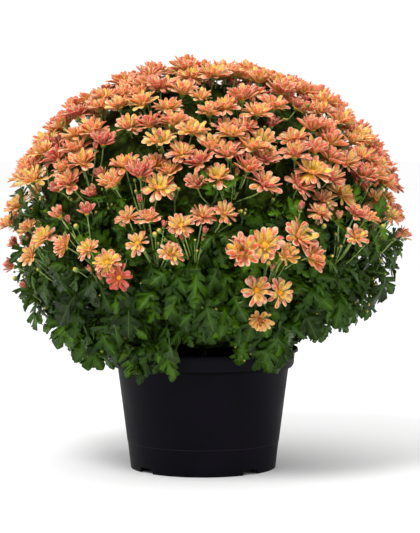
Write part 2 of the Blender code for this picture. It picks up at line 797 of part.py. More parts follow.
def make_stem(sector, mass, leaves, parts, working, material):
    """Joins a stem, its mass of small leaves and its larger leaves into one body."""
    pieces = bpy.data.collections.new(f"pieces_{sector}")
    bpy.context.scene.collection.children.link(pieces)
    foot, head = stem_ends(sector)
    bm = bmesh.new()
    tapered_rod(bm, foot, head, STEM_RADIUS, STEM_RADIUS * STEM_TAPER, STEM_SIDES)
    rod = add_object(f"rod_{sector}", bm, working, [material])
    for piece in [rod] + leaves:
        pieces.objects.link(piece)
        working.objects.unlink(piece)
    add_boolean(mass, pieces, "UNION", "MANIFOLD")
    apply_modifiers(mass)
    for piece in list(pieces.objects):
        bpy.data.objects.remove(piece)
    bpy.data.collections.remove(pieces)
    working.objects.unlink(mass)
    parts.objects.link(mass)
    mass.name = f"leafy_stem_{sector + 1}"
    return mass


def main():
    for obj in list(bpy.data.objects):
        bpy.data.objects.remove(obj)
    parts = make_collection("pot_chrysanthemum")
    cutters = make_collection("cutters")
    working = make_collection("working")
    black = make_material("near_black_plastic", (0.010, 0.009, 0.013), 0.48)
    earth = make_material("dark_potting_soil", (0.020, 0.013, 0.009), 0.95)
    green = make_material("dark_green_leaf", (0.028, 0.085, 0.018), 0.50)
    stalk = make_material("green_stalk", (0.080, 0.160, 0.035), 0.55)
    coral = make_material("coral_petal", (0.80, 0.200, 0.085), 0.60)

    pot = make_pot(parts, cutters, black)
    make_soil(parts, cutters, earth)

    rng = random.Random(MASS_SEED)
    masses = [add_leaf_mass(sector, rng, working, green) for sector in range(STEMS)]
    all_masses = bmesh.new()
    for mass in masses:
        all_masses.from_mesh(mass.data)
    mass_tree = BVHTree.FromBMesh(all_masses)
    all_masses.free()

    obstacles = Obstacles()
    for number, flowers in enumerate(flower_layout(), start=1):
        spray = make_spray(f"spray_{number:02d}", flowers, mass_tree, parts, [stalk, coral])
        obstacles.add(object_bmesh(spray), "spray")
    obstacles.add(object_bmesh(pot), "pot")
    for sector, mass in enumerate(masses):
        obstacles.add(object_bmesh(mass), sector)

    leaves = place_leaves(masses, obstacles, working, green)
    for sector, mass in enumerate(masses):
        make_stem(sector, mass, leaves[sector], parts, working, green)
    bpy.data.collections.remove(working)
    for cutter in cutters.objects:
        cutter.hide_render = True
        cutter.display_type = "WIRE"


main()
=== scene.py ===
import json
import math
import random
from collections import namedtuple

import bmesh
import bpy
from mathutils import Matrix, Vector, kdtree, noise

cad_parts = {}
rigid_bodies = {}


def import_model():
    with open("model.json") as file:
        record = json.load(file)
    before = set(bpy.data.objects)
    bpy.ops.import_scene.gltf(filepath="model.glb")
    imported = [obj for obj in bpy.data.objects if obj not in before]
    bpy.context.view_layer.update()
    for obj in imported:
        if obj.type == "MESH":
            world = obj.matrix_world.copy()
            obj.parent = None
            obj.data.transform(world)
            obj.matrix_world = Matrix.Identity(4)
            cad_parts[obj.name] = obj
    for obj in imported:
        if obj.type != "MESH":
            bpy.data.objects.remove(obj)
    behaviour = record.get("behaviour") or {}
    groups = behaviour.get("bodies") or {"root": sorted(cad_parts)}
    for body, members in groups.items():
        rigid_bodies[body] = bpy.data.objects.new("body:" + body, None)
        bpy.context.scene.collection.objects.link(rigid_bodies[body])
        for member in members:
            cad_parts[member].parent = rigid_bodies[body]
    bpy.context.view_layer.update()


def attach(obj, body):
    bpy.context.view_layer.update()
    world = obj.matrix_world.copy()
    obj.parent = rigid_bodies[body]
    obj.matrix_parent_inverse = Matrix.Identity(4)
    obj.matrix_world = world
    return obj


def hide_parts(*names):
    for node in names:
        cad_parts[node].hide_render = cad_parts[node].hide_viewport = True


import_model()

# Pot chrysanthemum: a large mum in full bloom, in a black nursery pot.
# Metres, +Z up, the front is -Y. A bearing runs from the front towards +X, and a height runs up from
# the level of the crown's middle, both in degrees.

scene = bpy.context.scene
goldenAngle = math.pi * (3 - math.sqrt(5))
upward = Vector((0, 0, 1))


def screenColour(red, green, blue):
    # a colour in screen values, 0 to 255, as a shader wants it
    def straight(value):
        value /= 255
        return value / 12.92 if value <= 0.04045 else ((value + 0.055) / 1.055) ** 2.4
    return (straight(red), straight(green), straight(blue), 1)


def screenColours(**shades):
    return {name: screenColour(*shade) for name, shade in shades.items()}


def plug(tree, socket, value):
    if isinstance(value, bpy.types.Node):
        value = value.outputs[0]
    if isinstance(value, bpy.types.NodeSocket):
        tree.links.new(value, socket)
    else:
        socket.default_value = value


def addNode(tree, kind, inputs=None, **settings):
    node = tree.nodes.new(kind)
    for name, value in settings.items():
        setattr(node, name, value)
    for key, value in (inputs or {}).items():
        plug(tree, node.inputs[key], value)
    return node


def calc(tree, operation, *values, clamp=False):
    inputs = dict(enumerate(values))
    return addNode(tree, "ShaderNodeMath", inputs, operation=operation, use_clamp=clamp).outputs[0]


def times(tree, value, factor, plus=None):
    # the product, with a value added to it if one is given
    if plus is None:
        return calc(tree, "MULTIPLY", value, factor)
    return calc(tree, "MULTIPLY_ADD", value, factor, plus)


def mixColour(tree, share, first, second):
    inputs = {0: share, 6: first, 7: second}
    return addNode(tree, "ShaderNodeMix", inputs, data_type="RGBA").outputs[2]


def tinted(tree, colour, *tints):
    # the colour with each tint laid over it in turn, as (share, tint)
    for share, tint in tints:
        colour = mixColour(tree, share, colour, tint)
    return colour


def ramp(tree, value, stops):
    node = addNode(tree, "ShaderNodeValToRGB", {0: value})
    marks = node.color_ramp.elements
    while len(marks) < len(stops):
        marks.new(0.5)
    for mark, (place, colour) in zip(marks, stops):
        mark.position = place
        mark.color = colour
    return node.outputs[0]


def spread(tree, value, low, high, toLow=0.0, toHigh=1.0):
    # a value's range made another, smoothly
    inputs = {0: value, 1: low, 2: high, 3: toLow, 4: toHigh}
    node = addNode(tree, "ShaderNodeMapRange", inputs, interpolation_type="SMOOTHSTEP")
    return node.outputs[0]


def grain(tree, vector, scale, detail=2.0):
    inputs = {"Vector": vector, "Scale": scale, "Detail": detail}
    return addNode(tree, "ShaderNodeTexNoise", inputs).outputs[0]


def voronoi(tree, vector, scale):
    return addNode(tree, "ShaderNodeTexVoronoi", {"Vector": vector, "Scale": scale}).outputs["Distance"]


def attribute(tree, name):
    return addNode(tree, "ShaderNodeAttribute", attribute_name=name).outputs["Fac"]


def attributes(tree, *names):
    return [attribute(tree, name) for name in names]


def objectPlace(tree):
    return addNode(tree, "ShaderNodeTexCoord").outputs["Object"]


def newMaterial(name):
    material = bpy.data.materials.new(name)
    material.use_nodes = True
    return material, material.node_tree, material.node_tree.nodes["Principled BSDF"]


def dress(tree, shader, colour, roughness, specular=None):
    # a number here is the same all over the surface, and goes on the shader itself
    plug(tree, shader.inputs["Base Color"], colour)
    plug(tree, shader.inputs["Roughness"], roughness)
    if specular is not None:
        shader.inputs["Specular IOR Level"].default_value = specular


def emboss(tree, shader, height, strength, distance, invert=False):
    inputs = {"Height": height, "Strength": strength, "Distance": distance}
    plug(tree, shader.inputs["Normal"], addNode(tree, "ShaderNodeBump", inputs, invert=invert))


# Camera, light and floor
studio = {
    "lens": 140.5, "eye": (0.0108, -3.270, 0.5206), "lookDown": 3.57, "aim": (0, 0, 0.38),
    # each lamp's place, size and power
    "keyLight": ((-1.2, -2.4, 3.2), 1.3, 112.0), "fillLight": ((2.4, -2.6, 1.2), 2.0, 18.0),
    # the sky is bright at the horizon, dim over it and bright overhead, between these heights
    "horizonLight": 1.02, "lowSkyLight": 0.42, "zenithLight": 1.62, "horizon": (0.07, 0.20), "zenith": (0.25, 1.0),
    "floorRadius": 40.0, "floorGreys": (0.86, 0.90),
}


def makeCamera():
    camera = bpy.data.objects.new("camera", bpy.data.cameras.new("camera"))
    camera.data.lens = studio["lens"]
    camera.data.sensor_width = 36
    camera.location = studio["eye"]
    camera.rotation_euler = (math.radians(90 - studio["lookDown"]), 0, 0)
    scene.collection.objects.link(camera)
    scene.camera = camera


def makeLamp(name):
    place, size, power = studio[name]
    lamp = bpy.data.objects.new(name, bpy.data.lights.new(name, "AREA"))
    lamp.data.size = size
    lamp.data.energy = power
    lamp.location = place
    lamp.rotation_euler = (Vector(studio["aim"]) - Vector(place)).to_track_quat("-Z", "Y").to_euler()
    scene.collection.objects.link(lamp)


def makeSky():
    world = bpy.data.worlds.new("paleStudio")
    world.use_nodes = True
    tree = world.node_tree
    way = addNode(tree, "ShaderNodeTexCoord").outputs["Generated"]
    height = addNode(tree, "ShaderNodeSeparateXYZ", {0: way}).outputs[2]
    low, above = studio["lowSkyLight"], studio["zenithLight"] - studio["lowSkyLight"]
    band = spread(tree, height, *studio["horizon"], studio["horizonLight"], low)
    sky = tree.nodes["Background"].inputs
    plug(tree, sky["Strength"], calc(tree, "ADD", band, spread(tree, height, *studio["zenith"], 0, above)))
    sky["Color"].default_value = (1, 1, 1, 1)
    scene.world = world
    scene.view_settings.view_transform = "Standard"


def makeFloor():
    bm = bmesh.new()
    bmesh.ops.create_circle(bm, cap_ends=True, segments=96, radius=studio["floorRadius"])
    floor = meshObject("floor", meshFrom(bm, "floor"))
    material, tree, shader = newMaterial("paleFloor")
    stops = [(place, (grey, grey, grey, 1)) for place, grey in enumerate(studio["floorGreys"])]
    dress(tree, shader, ramp(tree, grain(tree, objectPlace(tree), 1.5), stops), 0.9)
    floor.data.materials.append(material)


def makeStudio():
    makeCamera()
    makeLamp("keyLight")
    makeLamp("fillLight")
    makeSky()
    makeFloor()


# Meshes, pieces and Geometry Nodes
def meshFrom(bm, name, smooth=False):
    for face in bm.faces:
        face.smooth = smooth or face.smooth
    mesh = bpy.data.meshes.new(name)
    bm.to_mesh(mesh)
    bm.free()
    return mesh


def markLayers(bm):
    # what a petal, a calyx or a leaf tells its material
    return {label: bm.verts.layers.float.new(label) for label in ("along", "across", "under", "part")}


def markedVert(bm, layers, place, along, across, under):
    vert = bm.verts.new(place)
    vert[layers["along"]] = along
    vert[layers["across"]] = across
    vert[layers["under"]] = under
    return vert


def meshObject(name, mesh, collection=None):
    obj = bpy.data.objects.new(name, mesh)
    (collection or scene.collection).objects.link(obj)
    return obj


def addPiece(obj, slot, *replaced):
    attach(obj, "root")
    if replaced:
        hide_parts(*replaced)
    return obj


def plainMesh(obj, name):
    # the evaluated object as a mesh of its own
    graph = bpy.context.evaluated_depsgraph_get()
    evaluated = obj.evaluated_get(graph)
    mesh = bpy.data.meshes.new_from_object(evaluated, preserve_all_data_layers=True, depsgraph=graph)
    mesh.name = name
    return mesh


def keepOnlyMesh(obj):
    mesh = plainMesh(obj, obj.name)
    obj.modifiers.clear()
    obj.data = mesh
    return obj


def pointCloud(name, places, values, edges=()):
    # a mesh of bare points, or of lines, with a value of each name at each point
    mesh = bpy.data.meshes.new(name)
    mesh.from_pydata(places, edges, [])
    for label, (kind, numbers) in values.items():
        layer = mesh.attributes.new(label, kind, "POINT")
        if kind == "FLOAT_VECTOR":
            layer.data.foreach_set("vector", [part for number in numbers for part in number])
        else:
            layer.data.foreach_set("value", numbers)
    return meshObject(name, mesh)


def column(things, name):
    return [getattr(thing, name) for thing in things]


def setPiece(name, tree, settings, places, forms, sizes, turns, tones=None):
    # the collection's forms set at the places by the tree, as one plain mesh
    values = {"form": ("INT", forms), "size": ("FLOAT", sizes), "turn": ("FLOAT_VECTOR", turns)}
    values.update({label: ("FLOAT", numbers) for label, numbers in (tones or {}).items()})
    host = pointCloud(name, places, values)
    addTree(host, tree, settings)
    return keepOnlyMesh(host)


def newTree(name, sockets):
    tree = bpy.data.node_groups.new(name, "GeometryNodeTree")
    tree.interface.new_socket("Geometry", in_out="OUTPUT", socket_type="NodeSocketGeometry")
    tree.interface.new_socket("Geometry", in_out="INPUT", socket_type="NodeSocketGeometry")
    for label, kind in sockets:
        tree.interface.new_socket(label, in_out="INPUT", socket_type="NodeSocket" + kind)
    return tree, addNode(tree, "NodeGroupInput").outputs, addNode(tree, "NodeGroupOutput")


def finishTree(tree, geometry, finish, out):
    # every tree ends with real geometry in its finish
    real = addNode(tree, "GeometryNodeRealizeInstances", {0: geometry})
    finished = addNode(tree, "GeometryNodeSetMaterial", {"Geometry": real, "Material": finish})
    tree.links.new(finished.outputs[0], out.inputs[0])


def addTree(obj, tree, settings):
    modifier = obj.modifiers.new(tree.name, "NODES")
    modifier.node_group = tree
    for item in tree.interface.items_tree:
        if item.in_out == "INPUT" and item.name in settings:
            modifier[item.identifier] = settings[item.name]


def named(tree, name, kind="FLOAT"):
    node = addNode(tree, "GeometryNodeInputNamedAttribute", {"Name": name}, data_type=kind)
    return node.outputs["Attribute"]


def drawn(tree, low, high, seed, offset):
    # a random number for each point
    inputs = {2: low, 3: high, 8: calc(tree, "ADD", seed, float(offset))}
    return addNode(tree, "FunctionNodeRandomValue", inputs, data_type="FLOAT").outputs[1]


# Petals: a blade one unit long on +X with its face up, closed, with four corners to a section
petalShapes = {
    "wideBlade": {
        "outline": ((0, 0.040), (0.16, 0.070), (0.42, 0.125), (0.68, 0.158), (0.86, 0.146), (0.96, 0.090)),
        "rise": 0.14, "curl": -0.50, "cup": 0.34, "thickness": 0.022,
    },
    "cuppedBlade": {
        "outline": ((0, 0.045), (0.16, 0.075), (0.42, 0.128), (0.68, 0.158), (0.86, 0.140), (0.96, 0.085)),
        "rise": -0.16, "curl": 0.40, "cup": 0.50, "thickness": 0.024,
    },
    "innerBlade": {
        "outline": ((0, 0.060), (0.30, 0.120), (0.64, 0.168), (0.90, 0.105)),
        "rise": -0.28, "curl": 0.75, "cup": 0.75, "thickness": 0.032,
    },
}
edgeUnder = 0.3  # how far a petal's edge takes the colours of its back


def petalBlade(name, shape, collection):
    bm = bmesh.new()
    layers = markLayers(bm)
    rings = []
    place = Vector((0, 0, 0))
    before = 0
    for along, half in shape["outline"] + ((1.0, 0),):
        angle = shape["rise"] + shape["curl"] * (along + before) / 2
        place = place + Vector((math.cos(angle), 0, math.sin(angle))) * (along - before)
        before = along
        facing = Vector((-math.sin(angle), 0, math.cos(angle)))
        if not half:
            tip = markedVert(bm, layers, place + facing * shape["cup"] * 0.05, 1.0, 0, edgeUnder)
            break
        lift = facing * shape["cup"] * half
        thick = facing * shape["thickness"] / 2
        side = Vector((0, half, 0))
        corners = ((side + lift, 1, edgeUnder), (thick, 0, 0), (lift - side, -1, edgeUnder), (-thick, 0, 1))
        rings.append([markedVert(bm, layers, place + aside, along, *marks) for aside, *marks in corners])
    for lower, upper in zip(rings, rings[1:]):
        for step in range(4):
            after = (step + 1) % 4
            bm.faces.new((lower[step], lower[after], upper[after], upper[step]))
    for step in range(4):
        bm.faces.new((rings[-1][step], rings[-1][(step + 1) % 4], tip))
    bm.faces.new(rings[0][::-1])
    bmesh.ops.recalc_face_normals(bm, faces=bm.faces[:])
    return meshObject(name, meshFrom(bm, name, True), collection)


# how far each petal strays from its ring's rule: a share of the step in turn, its roll, length and width
petalDraws = {"turn": 0.22, "roll": 1.4, "reach": (0.80, 1.06), "width": (0.94, 1.28)}


def petalRingTree():
    sockets = [(name, "Float") for name in ("Root", "Reach", "Tilt", "Unevenness", "Turn", "Level", "Inner")]
    sockets += [("Count", "Int"), ("Seed", "Int"), ("Petal", "Object"), ("Finish", "Material")]
    tree, given, out = newTree("petalRing", sockets)
    seed, uneven, reach = given["Seed"], given["Unevenness"], given["Reach"]
    turn, roll = petalDraws["turn"], petalDraws["roll"]
    step = calc(tree, "DIVIDE", math.tau, given["Count"])
    index = addNode(tree, "GeometryNodeInputIndex").outputs[0]
    angle = times(tree, drawn(tree, -turn, turn, seed, 1), step, times(tree, index, step, given["Turn"]))
    root = addNode(tree, "ShaderNodeCombineXYZ", {
        0: times(tree, calc(tree, "COSINE", angle), given["Root"]),
        1: times(tree, calc(tree, "SINE", angle), given["Root"]),
        2: given["Level"],
    })
    points = addNode(tree, "GeometryNodePoints", {"Count": given["Count"], "Position": root})
    tilt = times(tree, drawn(tree, -1, 1, seed, 2), uneven, given["Tilt"])
    roll = times(tree, drawn(tree, -roll, roll, seed, 3), uneven)
    turned = addNode(tree, "ShaderNodeCombineXYZ", {0: roll, 1: times(tree, tilt, -1.0), 2: angle})
    long = times(tree, drawn(tree, *petalDraws["reach"], seed, 4), reach)
    wide = times(tree, drawn(tree, *petalDraws["width"], seed, 5), reach)
    size = addNode(tree, "ShaderNodeCombineXYZ", {0: long, 1: wide, 2: long})
    petal = addNode(tree, "GeometryNodeObjectInfo", {"Object": given["Petal"]}).outputs["Geometry"]
    blades = addNode(tree, "GeometryNodeInstanceOnPoints", {
        "Points": points, "Instance": petal, "Rotation": turned, "Scale": size,
    })
    for name, value in (("petalTone", drawn(tree, 0, 1, seed, 6)), ("inner", given["Inner"])):
        inputs = {"Geometry": blades, "Name": name, "Value": value}
        blades = addNode(tree, "GeometryNodeStoreNamedAttribute", inputs, data_type="FLOAT", domain="INSTANCE")
    joined = addNode(tree, "GeometryNodeJoinGeometry")
    tree.links.new(given["Geometry"], joined.inputs[0])
    tree.links.new(blades.outputs[0], joined.inputs[0])
    finishTree(tree, joined, given["Finish"], out)
    return tree


# Blooms: rings of petals as (blade, petals, length, tilt), from the outermost in, for a bloom 50 mm wide
bloomShapes = {
    "open": (("wideBlade", 15, 0.0255, 0.30), ("cuppedBlade", 12, 0.0228, 0.62), ("innerBlade", 9, 0.0170, 0.98)),
    "flat": (("wideBlade", 16, 0.0252, 0.06), ("cuppedBlade", 13, 0.0230, 0.38), ("innerBlade", 9, 0.0168, 0.76)),
    "deep": (
        ("cuppedBlade", 14, 0.0262, 0.62), ("cuppedBlade", 12, 0.0240, 0.88), ("innerBlade", 8, 0.0190, 1.12),
    ),
    "loose": (("wideBlade", 11, 0.0252, 0.14), ("cuppedBlade", 9, 0.0220, 0.56), ("innerBlade", 7, 0.0155, 0.95)),
    "bowl": (("wideBlade", 14, 0.0262, 0.56), ("cuppedBlade", 12, 0.0236, 0.80), ("innerBlade", 8, 0.0180, 1.05)),
    "halfOpen": (("cuppedBlade", 9, 0.0250, 0.92), ("innerBlade", 8, 0.0225, 1.18)),
    "closing": (("innerBlade", 9, 0.0200, 1.24), ("innerBlade", 5, 0.0190, 1.40)),
}
# the forms in the order that flowers pick them by number, with the flatter ones first
bloomForms = (
    "flat", "loose", "open", "flat", "open", "bowl", "deep", "bowl", "open", "deep", "halfOpen", "halfOpen",
    "closing",
)
firstHalfOpen = bloomForms.index("halfOpen")
closingForm = bloomForms.index("closing")
budForm = len(bloomForms)
lowForms, highForms = (0, 7), (2, 9)
openForms = ("open", "flat", "loose")
# what a bloom's points tell placingTree: 0 is a petal, and the others follow the order of the finishes
parts = {"heart": 1, "calyx": 2, "bud": 3}
bloomBody = {
    # how far from the axis the petals of the closer and of the open forms start, and the step from ring to ring
    "root": (0.0016, -0.00035), "openRoot": (0.0026, 0.0008), "unevenness": 0.36, "ringRise": 0.0006,
    "formTurn": 1.3, "ringTurn": 0.5, "heartRadius": 0.0052, "calyxRadius": 0.0046, "calyxDepth": 0.0062,
}


def turnedProfile(bm, layers, profile, sides, part, wobble=0.0):
    # a closed turned shape whose first and last points are on the axis
    low, high = profile[0][1], profile[-1][1]
    bottom, top = bm.verts.new((0, 0, low)), bm.verts.new((0, 0, high))
    rings = []
    for level, (radius, height) in enumerate(profile[1:-1]):
        ring = []
        for side in range(sides):
            angle = math.tau * side / sides
            reach = radius * (1 + wobble * (side % 2) * (1 if level else 0))
            ring.append(bm.verts.new((reach * math.cos(angle), reach * math.sin(angle), height)))
        rings.append(ring)
    for side in range(sides):
        after = (side + 1) % sides
        bm.faces.new((bottom, rings[0][after], rings[0][side]))
        bm.faces.new((top, rings[-1][side], rings[-1][after]))
        for lower, upper in zip(rings, rings[1:]):
            bm.faces.new((lower[side], lower[after], upper[after], upper[side]))
    for vert in [bottom, top] + [vert for ring in rings for vert in ring]:
        vert[layers["part"]] = part
        vert[layers["along"]] = (vert.co.z - low) / (high - low)


def bloomBodyMesh(name, heart):
    bm = bmesh.new()
    layers = markLayers(bm)
    radius, depth, disc = (bloomBody[key] for key in ("calyxRadius", "calyxDepth", "heartRadius"))
    cup = ((0, -depth), (0.0016, -depth), (radius * 0.7, -depth * 0.72), (radius, -depth * 0.30),
           (radius * 0.9, -0.0002), (0, 0.0))
    turnedProfile(bm, layers, cup, 10, parts["calyx"], 0.08)
    if heart:
        dome = ((0, 0.0004), (disc, 0.0006), (disc * 0.86, 0.0022), (disc * 0.45, 0.0034), (0, 0.0037))
        turnedProfile(bm, layers, dome, 9, parts["heart"])
    return meshFrom(bm, name, True)


def budMesh(name):
    bm = bmesh.new()
    layers = markLayers(bm)
    cup = ((0, -0.0042), (0.0014, -0.0041), (0.0034, -0.0026), (0.0041, -0.0002), (0.0036, 0.0016), (0, 0.0018))
    turnedProfile(bm, layers, cup, 6, parts["calyx"], 0.05)
    ball = ((0, 0.0002), (0.0037, 0.0012), (0.0030, 0.0036), (0.0012, 0.0044), (0, 0.0045))
    turnedProfile(bm, layers, ball, 7, parts["bud"])
    return meshFrom(bm, name, True)


def makeBloomForms(petalFinish):
    forms = bpy.data.collections.new("bloomForms")
    blades = bpy.data.collections.new("petalBlades")
    blade = {name: petalBlade(name, shape, blades) for name, shape in petalShapes.items()}
    tree = petalRingTree()
    for number, form in enumerate(bloomForms):
        host = meshObject(f"form{number:02d}", bloomBodyMesh("bloomBody", form != "closing"), forms)
        root, step = bloomBody["openRoot" if form in openForms else "root"]
        for level, (bladeName, count, length, tilt) in enumerate(bloomShapes[form]):
            addTree(host, tree, {
                "Petal": blade[bladeName], "Count": count, "Root": root + level * step, "Reach": length,
                "Tilt": tilt, "Unevenness": bloomBody["unevenness"], "Level": bloomBody["ringRise"] * level,
                "Turn": number * bloomBody["formTurn"] + level * bloomBody["ringTurn"],
                "Inner": 0.0 if number >= firstHalfOpen else level / 2,
                "Seed": 40 * number + level, "Finish": petalFinish,
            })
    scene.collection.children.link(forms)
    for host in list(forms.objects):
        keepOnlyMesh(host)
    meshObject(f"form{budForm:02d}", budMesh("bud"), forms)
    scene.collection.children.unlink(forms)
    return forms


def placingTree(name, finishes):
    # the collection's forms set on the host's points, each part of them in its own finish
    tree, given, out = newTree(name, [("Forms", "Collection")] + [(finish, "Material") for finish in finishes])
    forms = addNode(tree, "GeometryNodeCollectionInfo", {
        "Collection": given["Forms"], "Separate Children": True, "Reset Children": True,
    })
    placed = addNode(tree, "GeometryNodeInstanceOnPoints", {
        "Points": given["Geometry"], "Instance": forms, "Pick Instance": True,
        "Instance Index": named(tree, "form", "INT"), "Rotation": named(tree, "turn", "FLOAT_VECTOR"),
        "Scale": named(tree, "size"),
    })
    last = addNode(tree, "GeometryNodeRealizeInstances", {0: placed})
    for number, finish in enumerate(finishes):
        inputs = {"Geometry": last, "Material": given[finish]}
        if number:
            inputs["Selection"] = calc(tree, "GREATER_THAN", named(tree, "part"), number - 0.5)
        last = addNode(tree, "GeometryNodeSetMaterial", inputs)
    tree.links.new(last.outputs[0], out.inputs[0])
    return tree


def tubeTree():
    # the host's lines as round stalks, as thick as their points say
    tree, given, out = newTree("stalks", (("Sides", "Int"), ("Finish", "Material")))
    lines = addNode(tree, "GeometryNodeMeshToCurve", {"Mesh": given["Geometry"]})
    thick = addNode(tree, "GeometryNodeSetCurveRadius", {"Curve": lines, "Radius": named(tree, "thick")})
    circle = addNode(tree, "GeometryNodeCurvePrimitiveCircle", {"Resolution": given["Sides"], "Radius": 1.0})
    inputs = {"Curve": thick, "Profile Curve": circle, "Fill Caps": True}
    tube = addNode(tree, "GeometryNodeCurveToMesh", inputs)
    if "Scale" in tube.inputs:  # some versions take the thickness here
        plug(tree, tube.inputs["Scale"], named(tree, "thick"))
    finishTree(tree, addNode(tree, "GeometryNodeSetShadeSmooth", {"Geometry": tube}), given["Finish"], out)
    return tree


# The crown: the surface that the blooms' centres lie on, and the flowers' places there
crown = {"shift": 0.004, "radius": 0.317, "rise": 0.269, "middle": 0.375}
growthCentre = Vector((0.002, 0.0, 0.31))
flowering = {
    "upperBlooms": 165, "upperSprays": 28, "upperEdge": 13, "spraysTop": 86, "wobble": 2, "gather": 0.07,
    "bloomRadius": 0.0250, "halfOpenRadius": 0.0135, "budRadius": 0.0042,
    "upperSize": (0.92, 1.0), "lowSize": (0.84, 0.97), "halfOpenSize": (0.70, 0.85), "spin": 2.4,
    "spacing": 0.0008, "spreadRounds": 80, "push": 0.55, "lean": 0.14, "leanUp": 0.30, "sunk": 0.010,
    "halfOpenShare": 0.12, "budShare": 0.7, "budAside": 9, "budDrop": (3, 9), "forkDepth": 0.082,
    "shortForkDepth": 0.060, "fullness": 1.09, "flatBelow": 0.43, "lowFullness": 0.88, "seed": 16,
}
lowBack = {
    # the low sprays behind: how many, from which bearing on, and the heights and numbers of blooms that repeat
    "sprays": 11, "edge": 88, "heights": (5, -8, 2, -14), "blooms": (4, 3, 4, 2), "wobble": 3, "step": (7, 9),
}
# the low sprays at the front, where the photo shows them, each bloom as (bearing, height)
lowFrontSprays = (
    ((-84, -12),),
    ((-61, 3), (-51, -2), (-58, -9)),
    ((-47, 8), (-42, -6), (-33, 10)),
    ((-32, -3), (-25, -5), (-22, -14)),
    ((-22, 8), (-15, 5), (-19, -1), (-7, -7)),
    ((-8, 6), (-1, 8), (8, 9)),
    ((7, -4), (15, -2), (22, -5), (28, 1), (33, -7)),
    ((13, -15), (22, -18), (16, -29)),
    ((26, 10), (34, 8)),
    ((45, 9), (44, -1), (53, 6)),
    ((66, 6), (77, 8), (77, -3)),
)
# blooms of their own look: their form, size and tone
specialBlooms = {
    (-22, -14): ("loose", 0.82, 1.3), (16, -29): ("deep", 0.80, 0.0), (13, -15): ("loose", 0.92, 0.72),
    (22, -18): ("loose", 0.90, 0.62), (-84, -12): ("halfOpen", 0.80, 0.9), (7, -4): ("deep", 1.12, 0.55),
    (15, -2): ("open", 1.14, 0.60), (28, 1): ("open", 1.18, 0.66), (33, -7): ("deep", 1.0, 0.40),
}
# and those of them that are half open
lowFrontHalfOpen = ((-22, -14), (77, 8), (77, -3), (-84, -12), (16, -29))


def onBearing(bearing, radius, height):
    angle = math.radians(bearing)
    return Vector((radius * math.sin(angle), -radius * math.cos(angle), height))


def within(rng, reach):
    return rng.uniform(-reach, reach)


def asShare(value):
    return min(1, max(0, value))


def onCrown(bearing, height, share=1.0):
    up = math.radians(height)
    radius, rise = crown["radius"] * share, crown["rise"] * share
    point = onBearing(bearing, radius * math.cos(up), crown["middle"] + rise * math.sin(up))
    return point + Vector((crown["shift"], 0, 0))


def crownOffset(point):
    # from the crown's middle
    return point.x - crown["shift"], point.y, point.z - crown["middle"]


def crownNormal(point):
    x, y, z = crownOffset(point)
    flat = crown["radius"] ** 2
    return Vector((x / flat, y / flat, z / crown["rise"] ** 2)).normalized()


def crownShare(point):
    # how far out a point lies: 1 is on the crown, and less is inside it
    x, y, z = crownOffset(point)
    return math.hypot(x / crown["radius"], y / crown["radius"], z / crown["rise"])


def toCrown(point, share=1.0):
    x, y, z = crownOffset(point)
    size = crownShare(point) / share
    return Vector((crown["shift"] + x / size, y / size, crown["middle"] + z / size))


class Flower:
    def __init__(self, kind, place, radius, spray, axis=None, number=0, look=None):
        self.kind = kind
        self.place = place
        self.radius = radius
        self.spray = spray
        self.axis = axis
        self.number = number
        self.look = look


def spiralHeights(count, low, high):
    # evenly spread places from the high end down, as (bearing, height)
    top = math.sin(math.radians(high))
    step = (top - math.sin(math.radians(low))) / count
    for turn in range(count):
        height = math.degrees(math.asin(top - (turn + 0.5) * step))
        yield math.degrees(turn * goldenAngle) % 360, height


def upperFlowers(rng):
    edge, wobble = flowering["upperEdge"], flowering["wobble"]
    sprays = [onCrown(*spot) for spot in spiralHeights(flowering["upperSprays"], edge + 3, flowering["spraysTop"])]
    flowers = []
    for bearing, height in spiralHeights(flowering["upperBlooms"], edge, 90):
        place = onCrown(bearing + within(rng, wobble), height + within(rng, wobble))
        spray = min(range(len(sprays)), key=lambda index: (sprays[index] - place).length)
        place = toCrown(place.lerp(sprays[spray], flowering["gather"]))
        radius = flowering["bloomRadius"] * rng.uniform(*flowering["upperSize"])
        flowers.append(Flower("bloom", place, radius, spray))
    return flowers


def lowSpraySpots(rng):
    spots = [list(spray) for spray in lowFrontSprays]
    edge, count = lowBack["edge"], lowBack["sprays"]
    aside, up = lowBack["step"]
    for turn in range(count):
        bearing = edge + (360 - 2 * edge) * (turn + 0.5) / count
        height = lowBack["heights"][turn % 4] + within(rng, lowBack["wobble"])
        blooms = range(lowBack["blooms"][turn % 4])
        spots.append([(bearing + aside * step, height + up * (step % 2)) for step in blooms])
    return spots


def lowFlowers(rng, firstSpray):
    flowers = []
    aside = flowering["budAside"]
    for spray, spots in enumerate(lowSpraySpots(rng), start=firstSpray):
        for spot in spots:
            kind, radius = "halfOpen", flowering["halfOpenRadius"]
            if spot not in lowFrontHalfOpen and rng.random() >= flowering["halfOpenShare"]:
                kind, radius = "bloom", flowering["bloomRadius"] * rng.uniform(*flowering["lowSize"])
            flowers.append(Flower(kind, onCrown(*spot), radius, spray, look=specialBlooms.get(spot)))
        if rng.random() < flowering["budShare"]:
            bearing, height = spots[0]
            beside = onCrown(bearing + rng.choice((-aside, aside)), height - rng.uniform(*flowering["budDrop"]))
            flowers.append(Flower("bud", beside, flowering["budRadius"], spray))
    return flowers


def spreadFlowers(flowers):
    # moves flowers that stand too close apart along the crown
    for _ in range(flowering["spreadRounds"]):
        moved = False
        for index, one in enumerate(flowers):
            for other in flowers[:index]:
                apart = one.place - other.place
                least = one.radius + other.radius + flowering["spacing"]
                if apart.length < least:
                    push = apart.normalized() * (least - apart.length) * flowering["push"]
                    one.place = toCrown(one.place + push)
                    other.place = toCrown(other.place - push)
                    moved = True
        if not moved:
            return


